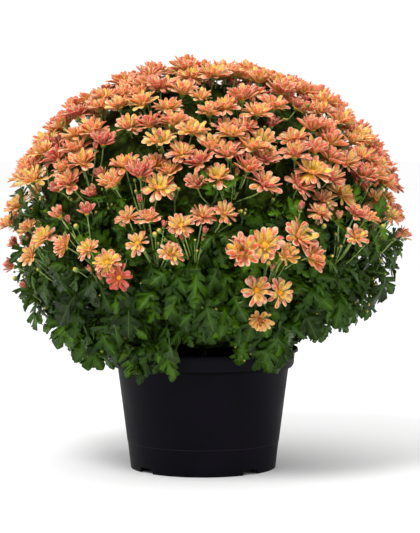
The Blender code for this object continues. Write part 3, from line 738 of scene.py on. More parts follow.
def flowerLayout():
    rng = random.Random(flowering["seed"])
    flowers = upperFlowers(rng)
    flowers += lowFlowers(rng, flowering["upperSprays"])
    spreadFlowers(flowers)
    lean = flowering["lean"]
    sprays = {}
    for number, flower in enumerate(flowers):
        flower.number = number
        outward = crownNormal(flower.place)
        flower.axis = (outward + Vector((within(rng, lean), within(rng, lean), flowering["leanUp"]))).normalized()
        flower.place = flower.place - outward * rng.uniform(0, flowering["sunk"])
        sprays.setdefault(flower.spray, []).append(flower)
    return [sprays[key] for key in sorted(sprays)]


# How a spray stands: how far its stalk and its blooms turn up, more so high on the crown, how its blooms part
# and draw together, and how far the high ones sink in
posture = {
    "upright": 0.85, "lean": 0.60, "lookLean": 0.15, "highLean": 0.45, "fan": 7.0, "gather": 0.26, "sink": 0.013,
    "sinkFrom": 0.35, "sinkOver": 0.10,
}


class Spray:
    def __init__(self, number, flowers):
        self.number = number
        self.flowers = flowers
        middle = sum((flower.place for flower in flowers), Vector()) / len(flowers)
        self.grows = ((middle - growthCentre).normalized() + upward * posture["upright"]).normalized()
        self.fork = middle - self.grows * flowering["forkDepth" if len(flowers) > 2 else "shortForkDepth"]
        for flower in flowers:
            aside = flower.place - middle
            above = asShare((flower.place.z - posture["sinkFrom"]) / posture["sinkOver"])
            sink = crownNormal(flower.place) * above * posture["sink"]
            flower.place = flower.place - aside * posture["gather"] - sink
            lean = posture["lookLean"] if flower.look else posture["lean"] + posture["highLean"] * above
            flower.axis = (flower.axis + upward * lean + aside * posture["fan"]).normalized()


# More blooms that fill in under the first ones, and buds on short pedicels
filling = {
    "tries": 1500, "heights": (12, 88), "depth": (0.006, 0.026), "clear": 0.026, "reach": 0.105, "beyond": 0.02,
    "most": 95, "halfOpenShare": 0.24, "radius": (0.019, 0.024), "lean": 0.3, "seed": 5, "firstNumber": 1000,
}
budding = {
    "count": (4, 7), "spread": 0.45, "rise": (0.50, 0.90), "size": (0.45, 0.75), "limit": 1.0, "lean": 0.4,
    "closingShare": 0.32, "closingSize": (0.55, 0.75), "seed": 6, "firstNumber": 2000,
}


def addFillers(sprays):
    rng = random.Random(filling["seed"])
    places = [flower.place for spray in sprays for flower in spray.flowers if flower.kind != "bud"]
    added = 0
    spots = list(spiralHeights(filling["tries"], *filling["heights"]))
    rng.shuffle(spots)
    for spot in spots:
        outside = onCrown(*spot)
        outward = crownNormal(outside)
        place = outside - outward * (rng.uniform(*filling["depth"]) + posture["sink"])
        if added >= filling["most"] or min((place - other).length for other in places) < filling["clear"]:
            continue
        spray = min(sprays, key=lambda one: (one.fork - place).length)
        stem = place - spray.fork
        if stem.length > filling["reach"] or stem.dot(spray.grows) < filling["beyond"]:
            continue
        kind, radius = "halfOpen", flowering["halfOpenRadius"]
        if rng.random() >= filling["halfOpenShare"]:
            kind, radius = "bloom", rng.uniform(*filling["radius"])
        lean = Vector((within(rng, 1), within(rng, 1), 0)) * filling["lean"]
        axis = (outward + lean + upward * posture["lean"]).normalized()
        spray.flowers.append(Flower(kind, place, radius, spray.number, axis, filling["firstNumber"] + added))
        places.append(place)
        added += 1
    print("filler blooms", added)


def randomWay(rng):
    return Vector((within(rng, 1), within(rng, 1), within(rng, 1)))


def addBuds(sprays):
    rng = random.Random(budding["seed"])
    number = budding["firstNumber"]
    for spray in sprays:
        length = (spray.flowers[0].place - spray.fork).length
        for _ in range(rng.randint(*budding["count"])):
            way = (spray.grows + randomWay(rng) * budding["spread"]).normalized()
            place = spray.fork + way * length * rng.uniform(*budding["rise"])
            if crownShare(place) > budding["limit"]:
                continue
            kind = "closing" if rng.random() < budding["closingShare"] else "bud"
            radius = flowering["budRadius"] * rng.uniform(*budding["size"])
            axis = (way + upward * budding["lean"]).normalized()
            spray.flowers.append(Flower(kind, place, radius, spray.number, axis, number))
            number += 1


def flowerForm(flower, rng):
    # the number of its form, and its size
    if flower.look:
        return bloomForms.index(flower.look[0]), flower.look[1]
    if flower.kind == "bud":
        return budForm, flower.radius / flowering["budRadius"]
    if flower.kind == "closing":
        return closingForm, rng.uniform(*budding["closingSize"])
    if flower.kind == "halfOpen":
        return rng.randint(firstHalfOpen, closingForm), rng.uniform(*flowering["halfOpenSize"])
    low = flower.place.z < flowering["flatBelow"]
    forms, fullness = (lowForms, "lowFullness") if low else (highForms, "fullness")
    return rng.randint(*forms), flower.radius / flowering["bloomRadius"] * flowering[fullness]


def flowerTurn(flower):
    turn = flower.axis.to_track_quat("Z", "Y").to_matrix()
    spin = Matrix.Rotation(flower.number * flowering["spin"], 3, "Z")
    return (turn @ spin).to_euler("XYZ")


toning = {"spray": (0.20, 0.92), "spread": 0.24, "halfOpen": (0.7, 1.1), "seed": 31}


def bloomTone(flower, sprayTone, rng):
    # 0 is straw yellow, the middle is salmon orange, 1 is rose and 1.3 crimson
    if flower.look:
        return flower.look[2]
    if flower.kind in ("halfOpen", "closing"):
        return rng.uniform(*toning["halfOpen"])
    return asShare(rng.gauss(sprayTone, toning["spread"]))


def makeBlooms(sprays, forms, finishes):
    rng = random.Random(toning["seed"])
    tree = placingTree("setBlooms", list(finishes))
    for spray in sprays:
        flowers = spray.flowers
        chosen = [flowerForm(flower, rng) for flower in flowers]
        sprayTone = rng.uniform(*toning["spray"])
        blooms = setPiece(
            f"blooms_{spray.number:02d}", tree, {"Forms": forms, **finishes}, column(flowers, "place"),
            [form for form, _ in chosen], [size for _, size in chosen], [flowerTurn(flower) for flower in flowers],
            {"bloomTone": [bloomTone(flower, sprayTone, rng) for flower in flowers]},
        )
        addPiece(blooms, "petals", f"spray_{spray.number:02d}")


# Stalks: a bent pedicel to each flower, and a stalk from each fork down into the leaves
stalkShape = {
    "pedicel": 0.00115, "budPedicel": 0.0006, "stalk": 0.0021, "pieces": 6, "stalkPieces": 10, "branches": (4, 9),
    "sides": 5, "foot": 0.60, "sag": 0.03, "sunk": 0.9, "budSunk": 0.0035, "flare": 1.15, "taper": 0.8, "seed": 8,
}


def bentLine(start, startWay, end, endWay, pieces, bow=0.38):
    # a curve that leaves and arrives in the given ways, as points
    reach = (end - start).length * bow
    first, second = start + startWay * reach, end - endWay * reach
    line = []
    for step in range(pieces + 1):
        t = step / pieces
        s = 1 - t
        line.append(start * s**3 + first * 3 * s * s * t + second * 3 * s * t * t + end * t**3)
    return line


class Lines:
    # gathers stalks for one host of lines
    def __init__(self):
        self.places = []
        self.edges = []
        self.thick = []

    def add(self, line, startThick, endThick):
        first = len(self.places)
        for step, place in enumerate(line):
            self.places.append(place)
            self.thick.append(startThick + (endThick - startThick) * step / (len(line) - 1))
        self.edges += [(first + step, first + step + 1) for step in range(len(line) - 1)]

    def grow(self, name, tree, finish, sides):
        host = pointCloud(name, self.places, {"thick": ("FLOAT", self.thick)}, self.edges)
        addTree(host, tree, {"Sides": sides, "Finish": finish})
        return keepOnlyMesh(host)


def makeStalks(sprays, tree, finish):
    lines = Lines()
    rng = random.Random(stalkShape["seed"])
    flare, stalkWidth = stalkShape["flare"], stalkShape["stalk"]
    for spray in sprays:
        inward = (growthCentre - spray.fork) * (1 - stalkShape["foot"] / crownShare(spray.fork))
        foot = spray.fork + inward - upward * stalkShape["sag"]
        stalk = bentLine(foot, -inward.normalized(), spray.fork, spray.grows, stalkShape["stalkPieces"])
        lines.add(stalk, stalkWidth * flare, stalkWidth * stalkShape["taper"])
        for flower in spray.flowers:
            under, width = bloomBody["calyxDepth"] * stalkShape["sunk"], stalkShape["pedicel"]
            if flower.kind == "bud":
                under, width = stalkShape["budSunk"], stalkShape["budPedicel"]
            end = flower.place - flower.axis * under
            branch = rng.randint(*stalkShape["branches"])
            start = stalk[branch]
            way = (start - stalk[branch - 1]).normalized()
            lines.add(bentLine(start, way, end, flower.axis, stalkShape["pieces"]), width * flare, width)
    addPiece(lines.grow("flowerStalks", tree, finish, stalkShape["sides"]), "foliage")


# Leaves: one side of the outline from the foot of the petiole to the tip, as (out, up, rib), where rib is
# the point of the midrib that it fans out from
leafShape = {
    "ribs": (0.0, 0.20, 0.32, 0.45, 0.60, 0.75, 0.88, 1.0),
    "side": (
        (0.013, 0.000, 0), (0.016, 0.200, 1), (0.145, 0.275, 1), (0.252, 0.360, 1), (0.230, 0.435, 1),
        (0.062, 0.405, 1), (0.180, 0.490, 3), (0.330, 0.585, 3), (0.362, 0.660, 3), (0.290, 0.668, 3),
        (0.262, 0.728, 3), (0.074, 0.612, 3), (0.180, 0.755, 5), (0.212, 0.828, 5), (0.150, 0.838, 5),
        (0.150, 0.905, 5), (0.060, 0.970, 5),
    ),
    "thickness": 0.010, "archEnd": 1.05, "waves": 17, "waveHeight": 4, "phaseStep": 1.7,
}
leafForms = (
    {"arch": 0.10, "droop": 0.10, "fold": 0.20, "wave": 0.035, "wide": 1.00},
    {"arch": 0.16, "droop": 0.26, "fold": 0.05, "wave": 0.050, "wide": 0.86},
    {"arch": 0.05, "droop": 0.02, "fold": 0.38, "wave": 0.035, "wide": 1.10},
    {"arch": 0.12, "droop": 0.38, "fold": -0.12, "wave": 0.060, "wide": 0.94},
    {"arch": 0.02, "droop": 0.16, "fold": 0.12, "wave": 0.065, "wide": 0.80},
    {"arch": 0.18, "droop": 0.30, "fold": 0.30, "wave": 0.040, "wide": 1.04},
)


def leafBlade(name, form, phase, collection):
    bm = bmesh.new()
    layers = markLayers(bm)

    def corner(x, y, under, drop=0.0):
        wave = form["wave"] * math.sin(y * leafShape["waves"] + phase + (2 if x > 0 else 0))
        height = form["arch"] * math.sin(math.pi * min(1, y * leafShape["archEnd"])) - form["droop"] * y * y
        height += form["fold"] * abs(x) + wave * abs(x) * leafShape["waveHeight"]
        return markedVert(bm, layers, (x * form["wide"], y, height - drop), y, x, under)

    ribs, side = leafShape["ribs"], leafShape["side"]
    foot = corner(0, ribs[0], 0.5)
    tip = corner(0, ribs[-1], 0.5)
    faces = []
    for sign in (1, -1):
        edge = [corner(sign * x, y, 0.5) for x, y, _ in side]
        if sign == 1:
            tops = [foot] + [corner(0, y, 0) for y in ribs[1:-1]] + [tip]
            unders = [foot] + [corner(0, y, 1, leafShape["thickness"]) for y in ribs[1:-1]] + [tip]
        for rib, face in ((tops, sign), (unders, -sign)):
            made = [(foot, edge[0], rib[1])]
            last = 1
            for (one, other), (_, _, at) in zip(zip(edge, edge[1:]), side[1:]):
                while last < at:
                    made.append((one, rib[last + 1], rib[last]))
                    last += 1
                made.append((one, other, rib[last]))
            while last < len(rib) - 1:
                made.append((edge[-1], rib[last + 1], rib[last]))
                last += 1
            faces += [corners if face > 0 else corners[::-1] for corners in made]
    for corners in faces:
        bm.faces.new(corners)
    bmesh.ops.recalc_face_normals(bm, faces=bm.faces[:])
    return meshObject(name, meshFrom(bm, name, True), collection)


shoots = (
    # height and count of the shoots, how far out they end, their lean up, and their leaves' number and length
    # each kind also sets how much painted sheen its leaves get
    {"heights": (-50, 12), "count": 160, "share": (0.80, 0.99), "rise": 0.25, "leaves": 7,
     "length": (0.034, 0.060), "droop": 0.55, "cool": 0.55, "budShare": 0.45, "furthest": 1.0},
    {"heights": (0, 88), "count": 170, "share": (0.72, 0.87), "rise": 0.60, "leaves": 7,
     "length": (0.026, 0.048), "droop": 0.15, "cool": 0.10, "budShare": 0.30, "furthest": 0.92},
    {"heights": (-2, 50), "count": 90, "share": (0.80, 0.90), "rise": 0.80, "leaves": 6,
     "length": (0.024, 0.042), "droop": 0.10, "cool": 0.10, "budShare": 0.60, "furthest": 0.94},
)
shootShape = {
    "wobble": (4, 3), "footTurn": 5, "footDrop": 6, "reach": 0.30, "lean": 0.25, "thick": 0.0014, "flare": 1.4,
    "pieces": 4, "sides": 5, "clear": 0.014,
    # its leaves: how they lean from foot to head, face up, and vary, and how far their painted sheen varies
    "bareBack": -0.45, "leafyPart": 0.8, "twist": 0.4, "leafLean": (0.25, 0.7), "leafSpread": 0.2, "faceRise": 0.5,
    "faceSpread": 0.35, "lengthSpread": 0.005, "tone": (0.1, 0.9), "toneSlope": 0.3, "toneSpread": 0.2,
    "cool": (0.6, 1.2),
    # its twigs, which each bear a bud
    "twigs": (2, 4), "twig": (0.010, 0.026), "twigThick": 0.0005, "twigRise": 0.5, "twigSpread": 0.7,
    "twigSunk": 0.002, "twigFlare": 1.3,
}
hanging = {
    # the hanging leaves' number with the heights that they hang from, their lean and how their faces turn
    "rows": ((225, (-60, -6)), (75, (-56, -34))), "length": (0.052, 0.074), "share": (0.80, 0.98), "wobble": 4,
    "out": (0.1, 0.6), "droop": 0.8, "spread": 0.65, "faceOut": 0.8, "faceRise": 0.7, "faceSpread": 0.55,
    # the curve for the draws of painted sheen on the hanging leaves, most getting little
    "tone": (0, 0.8), "paintedSheenCurve": 1.6, "furthest": 1.03,
}
forkLeaf = {
    # the small leaves at each spray's fork
    "count": 2, "lean": 0.7, "spread": 0.8, "faceSpread": 0.4, "down": (-0.008, 0.012), "length": (0.020, 0.034),
    "tone": (0.4, 0.9), "furthest": 0.92,
}
leafing = {
    # where a leaf may not come: near a bloom at these parts of its length, too low, or near the pot
    "bloomClear": 0.017, "parts": (0.4, 0.7, 1.0), "rimPart": 0.6, "pullIn": 1.02, "lowest": 0.138,
    "potClear": 0.158, "rimClear": 0.200,
    # the places over the rim at the front where the leaves part, as (from, to, height)
    "rimGaps": ((-0.040, 0.047, 0.212), (0.131, 0.165, 0.215)),
    # how low the leaves hang, as (x, height)
    "skirt": (
        (-0.31, 0.270), (-0.27, 0.232), (-0.23, 0.186), (-0.18, 0.150), (0.13, 0.150), (0.16, 0.190),
        (0.22, 0.214), (0.26, 0.245), (0.31, 0.290),
    ),
    "seed": 23, "formSeed": 3,
}


# a leaf's share of painted sheen goes with its place, size, turn and tone
Leaf = namedtuple("Leaf", "place size turn tone cool")


def leafTurn(along, face):
    # turns a leaf's +Y along and its face up
    across = along.cross(face).normalized()
    up = across.cross(along)
    return Matrix((across, along, up)).transposed().to_euler("XYZ")


def inRimGap(point):
    return point.y < 0 and any(low < point.x < high and point.z < top for low, high, top in leafing["rimGaps"])


def skirtHeight(x):
    # the least height of a leaf there, from the photo's outline
    marks = leafing["skirt"]
    for (low, lowHeight), (high, highHeight) in zip(marks, marks[1:]):
        if low <= x < high:
            return lowHeight + (highHeight - lowHeight) * (x - low) / (high - low)
    return marks[0][1] if x < 0 else marks[-1][1]


def bloomFinder(sprays):
    # finds how far the nearest bloom is
    places = [flower.place for spray in sprays for flower in spray.flowers if flower.kind == "bloom"]
    finder = kdtree.KDTree(len(places))
    for index, place in enumerate(places):
        finder.insert(place, index)
    finder.balance()
    return finder


def tryLeaf(leaves, blooms, place, along, face, length, tone, cool, furthest):
    # adds the leaf unless it would cover a bloom, a gap or the pot
    tip = place + along * length
    if crownShare(tip) > furthest:
        place = place + (toCrown(tip, furthest) - tip) * leafing["pullIn"]
        tip = place + along * length
    if any(blooms.find(place.lerp(tip, part))[2] < leafing["bloomClear"] for part in leafing["parts"]):
        return
    if inRimGap(tip) or inRimGap(place.lerp(tip, leafing["rimPart"])):
        return
    if any(point.z < max(skirtHeight(point.x), leafing["lowest"]) for point in (place, tip)):
        return
    for point in (place, place.lerp(tip, 0.5), tip):
        if point.z < leafing["rimClear"] and point.xy.length < leafing["potClear"]:
            return
    leaves.append(Leaf(place, length, leafTurn(along, face), tone, cool))


def budTwigs(head, axis, lines, rng):
    # a few small buds on thin stems at a shoot's head
    buds = []
    thick = shootShape["twigThick"]
    for _ in range(rng.randint(*shootShape["twigs"])):
        way = axis + upward * shootShape["twigRise"] + randomWay(rng) * shootShape["twigSpread"]
        way.normalize()
        place = head + way * rng.uniform(*shootShape["twig"])
        if crownShare(place) > budding["limit"]:
            continue
        twig = bentLine(head, axis, place - way * shootShape["twigSunk"], way, 3)
        lines.add(twig, thick * shootShape["twigFlare"], thick)
        radius = flowering["budRadius"] * rng.uniform(*budding["size"])
        buds.append(Flower("bud", place, radius, 0, way, rng.randrange(99)))
    return buds


def growLeaves(kind, line, axis, outward, leaves, blooms, rng):
    # leaves set round a shoot in a spiral, the largest lowest
    aside = axis.cross(outward + randomWay(rng)).normalized()
    tone = rng.uniform(*shootShape["tone"])
    least, most = kind["length"]
    lean, leanMore = shootShape["leafLean"]
    for step in range(kind["leaves"]):
        near = (step + 0.5) / kind["leaves"]
        ray = Matrix.Rotation(step * goldenAngle + within(rng, shootShape["twist"]), 3, axis) @ aside
        if ray.dot(outward) < shootShape["bareBack"]:
            continue
        place = line[-1].lerp(line[1], (1 - near) * shootShape["leafyPart"])
        along = ray + axis * (lean + leanMore * near) - upward * kind["droop"]
        along = (along + randomWay(rng) * shootShape["leafSpread"]).normalized()
        face = axis + upward * shootShape["faceRise"] + randomWay(rng) * shootShape["faceSpread"]
        length = most + (least - most) * near + within(rng, shootShape["lengthSpread"])
        leafTone = asShare(tone + shootShape["toneSlope"] * (near - 0.5) + within(rng, shootShape["toneSpread"]))
        # painted sheen: how much of the grey-green sky reflection is painted on this leaf
        cool = kind["cool"] * rng.uniform(*shootShape["cool"])
        tryLeaf(leaves, blooms, place, along, face.normalized(), length, leafTone, cool, kind["furthest"])


def growShoots(kind, leaves, blooms, buds, lines, rng):
    # leafy side shoots, each on a thin stem
    turn, lift = shootShape["wobble"]
    thick = shootShape["thick"]
    for bearing, height in spiralHeights(kind["count"], *kind["heights"]):
        bearing += within(rng, turn)
        height += within(rng, lift)
        share = rng.uniform(*kind["share"])
        head = onCrown(bearing, height, share)
        if inRimGap(head) or head.z < skirtHeight(head.x) + shootShape["clear"]:
            continue
        footBearing = bearing + within(rng, shootShape["footTurn"])
        foot = onCrown(footBearing, height - shootShape["footDrop"], share - shootShape["reach"])
        outward = crownNormal(head)
        axis = (outward + upward * kind["rise"] + randomWay(rng) * shootShape["lean"]).normalized()
        line = bentLine(foot, outward, head, axis, shootShape["pieces"])
        lines.add(line, thick * shootShape["flare"], thick)
        if rng.random() < kind["budShare"]:
            buds += budTwigs(head, axis, lines, rng)
        growLeaves(kind, line, axis, outward, leaves, blooms, rng)


def hangLeaves(leaves, blooms, rng):
    # the large lower leaves, which hang with their faces out
    wobble = hanging["wobble"]
    spots = [spot for count, heights in hanging["rows"] for spot in spiralHeights(count, *heights)]
    for bearing, height in spots:
        spot = bearing + within(rng, wobble), height + within(rng, wobble)
        place = onCrown(*spot, rng.uniform(*hanging["share"]))
        outward = crownNormal(place)
        along = outward * rng.uniform(*hanging["out"]) - upward * hanging["droop"]
        along = (along + randomWay(rng) * hanging["spread"]).normalized()
        face = outward * hanging["faceOut"] + upward * hanging["faceRise"] + randomWay(rng) * hanging["faceSpread"]
        length, tone = rng.uniform(*hanging["length"]), rng.uniform(*hanging["tone"])
        # painted sheen on this hanging leaf, mostly little
        cool = rng.random() ** hanging["paintedSheenCurve"]
        tryLeaf(leaves, blooms, place, along, face.normalized(), length, tone, cool, hanging["furthest"])


def leafLayout(sprays, lines, buds):
    rng = random.Random(leafing["seed"])
    leaves = []
    blooms = bloomFinder(sprays)
    for kind in shoots:
        growShoots(kind, leaves, blooms, buds, lines, rng)
    hangLeaves(leaves, blooms, rng)
    for spray in sprays:
        for _ in range(forkLeaf["count"]):
            along = (spray.grows * forkLeaf["lean"] + randomWay(rng) * forkLeaf["spread"]).normalized()
            face = (upward + randomWay(rng) * forkLeaf["faceSpread"]).normalized()
            place = spray.fork - spray.grows * rng.uniform(*forkLeaf["down"])
            length, tone = rng.uniform(*forkLeaf["length"]), rng.uniform(*forkLeaf["tone"])
            # no painted sheen on the fork leaves
            tryLeaf(leaves, blooms, place, along, face, length, tone, 0, forkLeaf["furthest"])
    return leaves


def sectorOf(place, count):
    return round(math.atan2(place.x, -place.y) / math.tau * count) % count


def makeLeaves(sprays, finish, tubes, stemFinish, flowerForms, flowerFinishes):
    forms = bpy.data.collections.new("leafForms")
    for number, form in enumerate(leafForms):
        leafBlade(f"leafForm{number}", form, number * leafShape["phaseStep"], forms)
    lines = Lines()
    buds = []
    leaves = leafLayout(sprays, lines, buds)
    tree = placingTree("setBuds", list(flowerFinishes))
    addPiece(setPiece(
        "shootBuds", tree, {"Forms": flowerForms, **flowerFinishes}, column(buds, "place"), [budForm] * len(buds),
        [bud.radius / flowering["budRadius"] for bud in buds], [flowerTurn(bud) for bud in buds],
    ), "foliage")
    addPiece(lines.grow("leafyShoots", tubes, stemFinish, shootShape["sides"]), "foliage")
    tree = placingTree("setLeaves", ["Leaf"])
    rng = random.Random(leafing["formSeed"])
    stems = innerGrowth["stems"]
    for sector in range(stems):
        own = [leaf for leaf in leaves if sectorOf(leaf.place, stems) == sector]
        addPiece(setPiece(
            f"leaves_{sector + 1}", tree, {"Forms": forms, "Leaf": finish}, column(own, "place"),
            [rng.randrange(len(leafForms)) for _ in own], column(own, "size"), column(own, "turn"),
            {"leafTone": column(own, "tone"), "leafCool": column(own, "cool")},
        ), "foliage", f"leafy_stem_{sector + 1}")
    print("leaves", len(leaves))


# The dense growth inside the crown, which stands for the packed leaves and twigs and is coloured as painted shade,
# and the stems that carry it
innerGrowth = {
    "share": 0.72, "highShare": 0.12, "highSlope": 2, "highFrom": 0.2, "bumps": 6, "noise": (0.9, 2.1, 4),
    "lumps": 0.055, "lowest": 0.176, "lumpyFoot": 0.004,
    "stems": 8, "footPlace": 0.042, "foot": 0.130, "head": (-20, 0.62), "thick": 0.0048, "taper": 0.7, "pieces": 6,
    "sides": 8, "branches": 3, "branchFrom": (2, 4), "branchRise": 0.5, "branchPieces": 5, "branchTurn": 24,
    "branchHeights": (-48, -20), "branchShare": 0.72, "branchThick": (0.0026, 0.0018), "seed": 9,
}


def makeInnerGrowth(finish):
    bm = bmesh.new()
    bmesh.ops.create_icosphere(bm, subdivisions=5, radius=1)
    for vert in bm.verts:
        bump = noise.fractal(vert.co * innerGrowth["bumps"], *innerGrowth["noise"])
        high = asShare(vert.co.z * innerGrowth["highSlope"] + innerGrowth["highFrom"])
        share = (innerGrowth["share"] + innerGrowth["highShare"] * high) * (1 + innerGrowth["lumps"] * bump)
        x, y, z = vert.co
        vert.co = Vector((crown["shift"], 0, crown["middle"]))
        vert.co += Vector((x * crown["radius"], y * crown["radius"], z * crown["rise"])) * share
        vert.co.z = max(vert.co.z, innerGrowth["lowest"] + innerGrowth["lumpyFoot"] * bump)
    growth = meshObject("innerGrowth", meshFrom(bm, "innerGrowth", True))
    growth.data.materials.append(finish)
    addPiece(growth, "foliage")


def makeMainStems(tree, finish):
    lines = Lines()
    rng = random.Random(innerGrowth["seed"])
    thick, turn = innerGrowth["thick"], innerGrowth["branchTurn"]
    for stem in range(innerGrowth["stems"]):
        bearing = stem * 360 / innerGrowth["stems"]
        foot = onBearing(bearing, innerGrowth["footPlace"], innerGrowth["foot"])
        head = onCrown(bearing, *innerGrowth["head"])
        way = (head - foot).normalized()
        line = bentLine(foot, way, head, way, innerGrowth["pieces"])
        lines.add(line, thick, thick * innerGrowth["taper"])
        for _ in range(innerGrowth["branches"]):
            start = line[rng.randint(*innerGrowth["branchFrom"])]
            spot = bearing + within(rng, turn), rng.uniform(*innerGrowth["branchHeights"])
            end = onCrown(*spot, innerGrowth["branchShare"])
            way = (end - start).normalized()
            startWay = (way + upward * innerGrowth["branchRise"]).normalized()
            branch = bentLine(start, startWay, end, way, innerGrowth["branchPieces"])
            lines.add(branch, *innerGrowth["branchThick"])
    addPiece(lines.grow("mainStems", tree, finish, innerGrowth["sides"]), "foliage")


# The pot: a turned profile that runs down the outer side
pot = {
    "steps": 128, "rimRadius": 0.150, "height": 0.1897, "lipHeight": 0.0077, "bandRadius": 0.1440,
    "bandFoot": 0.1645, "bodyTopRadius": 0.1349, "bodyTop": 0.1587, "footRadius": 0.1144, "seam": 0.042,
    "seamStep": 0.0005, "wall": 0.0026, "floorUnder": 0.011, "floorTop": 0.014,
    "notches": (-50, 40, 130, 220), "notchWidth": 0.033, "notchTop": 0.79, "notchHeight": 0.008,
    "drainRadius": 0.0055, "drainPlace": 0.082, "rounding": 0.0009, "roundFrom": 25, "sharpFrom": 40,
}


def wallRadius(height):
    return pot["footRadius"] + (pot["bodyTopRadius"] - pot["footRadius"]) * height / pot["bodyTop"]


def potProfile():
    wall, seam, seamStep, height = (pot[key] for key in ("wall", "seam", "seamStep", "height"))
    rim, band, body, foot = (pot[key] for key in ("rimRadius", "bandRadius", "bodyTopRadius", "footRadius"))
    bandFoot, bodyTop, floor, under = (pot[key] for key in ("bandFoot", "bodyTop", "floorTop", "floorUnder"))
    lipFoot = height - pot["lipHeight"]
    return [
        (0, floor), (wallRadius(floor) - wall, floor), (body - wall, bodyTop - wall / 2),
        (band - 1.4 * wall, bandFoot), (band - wall / 2, height - wall / 2), (band + wall / 2, height),
        (rim - wall / 3, height - wall / 4), (rim, lipFoot + wall), (band + wall / 4, lipFoot),
        (band - wall / 3, bandFoot), (band - 1.4 * wall, bodyTop + wall / 2), (body, bodyTop),
        (wallRadius(seam), seam), (wallRadius(seam) - seamStep, seam - seamStep), (foot, 0), (foot - wall, 0),
        (wallRadius(under) - wall, under), (0, under),
    ]


def turnedMesh(name, profile, steps):
    bm = bmesh.new()
    verts = [bm.verts.new((radius, 0, height)) for radius, height in profile]
    edges = [bm.edges.new(pair) for pair in zip(verts, verts[1:])]
    bmesh.ops.spin(bm, geom=verts + edges, cent=(0, 0, 0), axis=(0, 0, 1), angle=math.tau, steps=steps,
                   use_merge=True)
    bmesh.ops.remove_doubles(bm, verts=bm.verts[:], dist=0.00001)
    bmesh.ops.recalc_face_normals(bm, faces=bm.faces[:])
    return meshObject(name, meshFrom(bm, name))


def cutter(bm, name, bearing, radius, height):
    place = Matrix.Translation(onBearing(bearing, radius, height))
    bm.transform(place @ Matrix.Rotation(math.radians(bearing), 4, "Z"))
    return meshObject(name, meshFrom(bm, name))


def notchCutter(bearing):
    bm = bmesh.new()
    bmesh.ops.create_cube(bm, size=1)
    for vert in bm.verts:
        vert.co.x *= pot["notchWidth"] * (pot["notchTop"] if vert.co.z > 0 else 1)
        vert.co.y *= 6 * pot["wall"]
        vert.co.z *= 2 * pot["notchHeight"]
    return cutter(bm, "notch", bearing, pot["footRadius"] - pot["wall"] / 2, 0)


def drainCutter(bearing):
    bm = bmesh.new()
    radius = pot["drainRadius"]
    bmesh.ops.create_cone(bm, cap_ends=True, segments=24, radius1=radius, radius2=radius, depth=4 * pot["wall"])
    return cutter(bm, "drain", bearing, pot["drainPlace"], (pot["floorTop"] + pot["floorUnder"]) / 2)


def makePot(finish):
    obj = turnedMesh("nurseryPot", potProfile(), pot["steps"])
    tools = [notchCutter(bearing) for bearing in pot["notches"]]
    tools += [drainCutter(bearing) for bearing in pot["notches"]]
    for tool in tools:
        obj.modifiers.new("cut", "BOOLEAN").object = tool
    bevel = obj.modifiers.new("roundedEdges", "BEVEL")
    bevel.width = pot["rounding"]
    bevel.segments = 2
    bevel.limit_method = "ANGLE"
    bevel.angle_limit = math.radians(pot["roundFrom"])
    keepOnlyMesh(obj)
    for tool in tools:
        bpy.data.objects.remove(tool)
    obj.data.shade_smooth()
    obj.data.set_sharp_from_angle(angle=math.radians(pot["sharpFrom"]))
    obj.data.materials.clear()
    obj.data.materials.append(finish)
    addPiece(obj, "pot_plastic", "pot")


# Soil: a low mound of clods with crumbs on it
soil = {
    "steps": 96, "top": 0.1555, "rise": 0.011, "roundness": 1.6, "clear": 0.0008, "floorClear": 0.0003,
    "clods": 0.0028, "clodSize": 90, "clodNoise": (0.8, 2.0, 3), "clodsFrom": 0.0005,
    "rings": (0, 0.08, 0.16, 0.24, 0.32, 0.40, 0.48, 0.56, 0.64, 0.72, 0.80, 0.88, 0.96, 1.0),
    "crumbs": 700, "crumbForms": 3, "crumbSize": (0.0012, 0.0042), "crumbLift": 0.0012, "crumbEdge": 0.97,
    "crumbBumps": 1.7, "crumbRough": 0.45, "crumbFlat": 0.6, "crumbSeed": 12,
}


def soilRadius(height):
    return wallRadius(height) - pot["wall"] - soil["clear"]


def soilLevel(share):
    return soil["top"] + soil["rise"] * (1 - share ** soil["roundness"])


def makeSoil(finish):
    radius, lowRadius = soilRadius(soil["top"]), soilRadius(pot["floorTop"])
    floor = pot["floorTop"] + soil["floorClear"]
    profile = [(radius * share, soilLevel(share)) for share in soil["rings"]] + [(lowRadius, floor), (0, floor)]
    obj = turnedMesh("soilGround", profile, soil["steps"])
    for vert in obj.data.vertices:
        if vert.co.z > soil["top"] + soil["clodsFrom"]:
            vert.co.z += soil["clods"] * noise.fractal(vert.co * soil["clodSize"], *soil["clodNoise"])
    obj.data.shade_smooth()
    obj.data.materials.append(finish)
    addPiece(obj, "potting_soil", "soil")


def makeCrumbs(finish):
    forms = bpy.data.collections.new("crumbForms")
    count = soil["crumbForms"]
    for number in range(count):
        bm = bmesh.new()
        bmesh.ops.create_icosphere(bm, subdivisions=1, radius=1)
        for vert in bm.verts:
            bump = noise.noise(vert.co * soil["crumbBumps"] + Vector((number * 5, 0, 0)))
            vert.co *= 1 + soil["crumbRough"] * bump
            vert.co.z *= soil["crumbFlat"]
        meshObject(f"crumb{number}", meshFrom(bm, "crumb"), forms)
    rng = random.Random(soil["crumbSeed"])
    radius, edge = soilRadius(soil["top"]), soil["crumbEdge"]
    places = []
    for turn in range(soil["crumbs"]):
        share = math.sqrt((turn + 0.5) / soil["crumbs"])
        level = soilLevel(share) + rng.uniform(0, soil["crumbLift"])
        places.append(onBearing(math.degrees(turn * goldenAngle), radius * share * edge, level))
    addPiece(setPiece(
        "soilCrumbs", placingTree("setCrumbs", ["Soil"]), {"Forms": forms, "Soil": finish}, places,
        [rng.randrange(count) for _ in places], [rng.uniform(*soil["crumbSize"]) for _ in places],
        [[rng.uniform(0, math.tau) for _ in range(3)] for _ in places],
    ), "potting_soil")


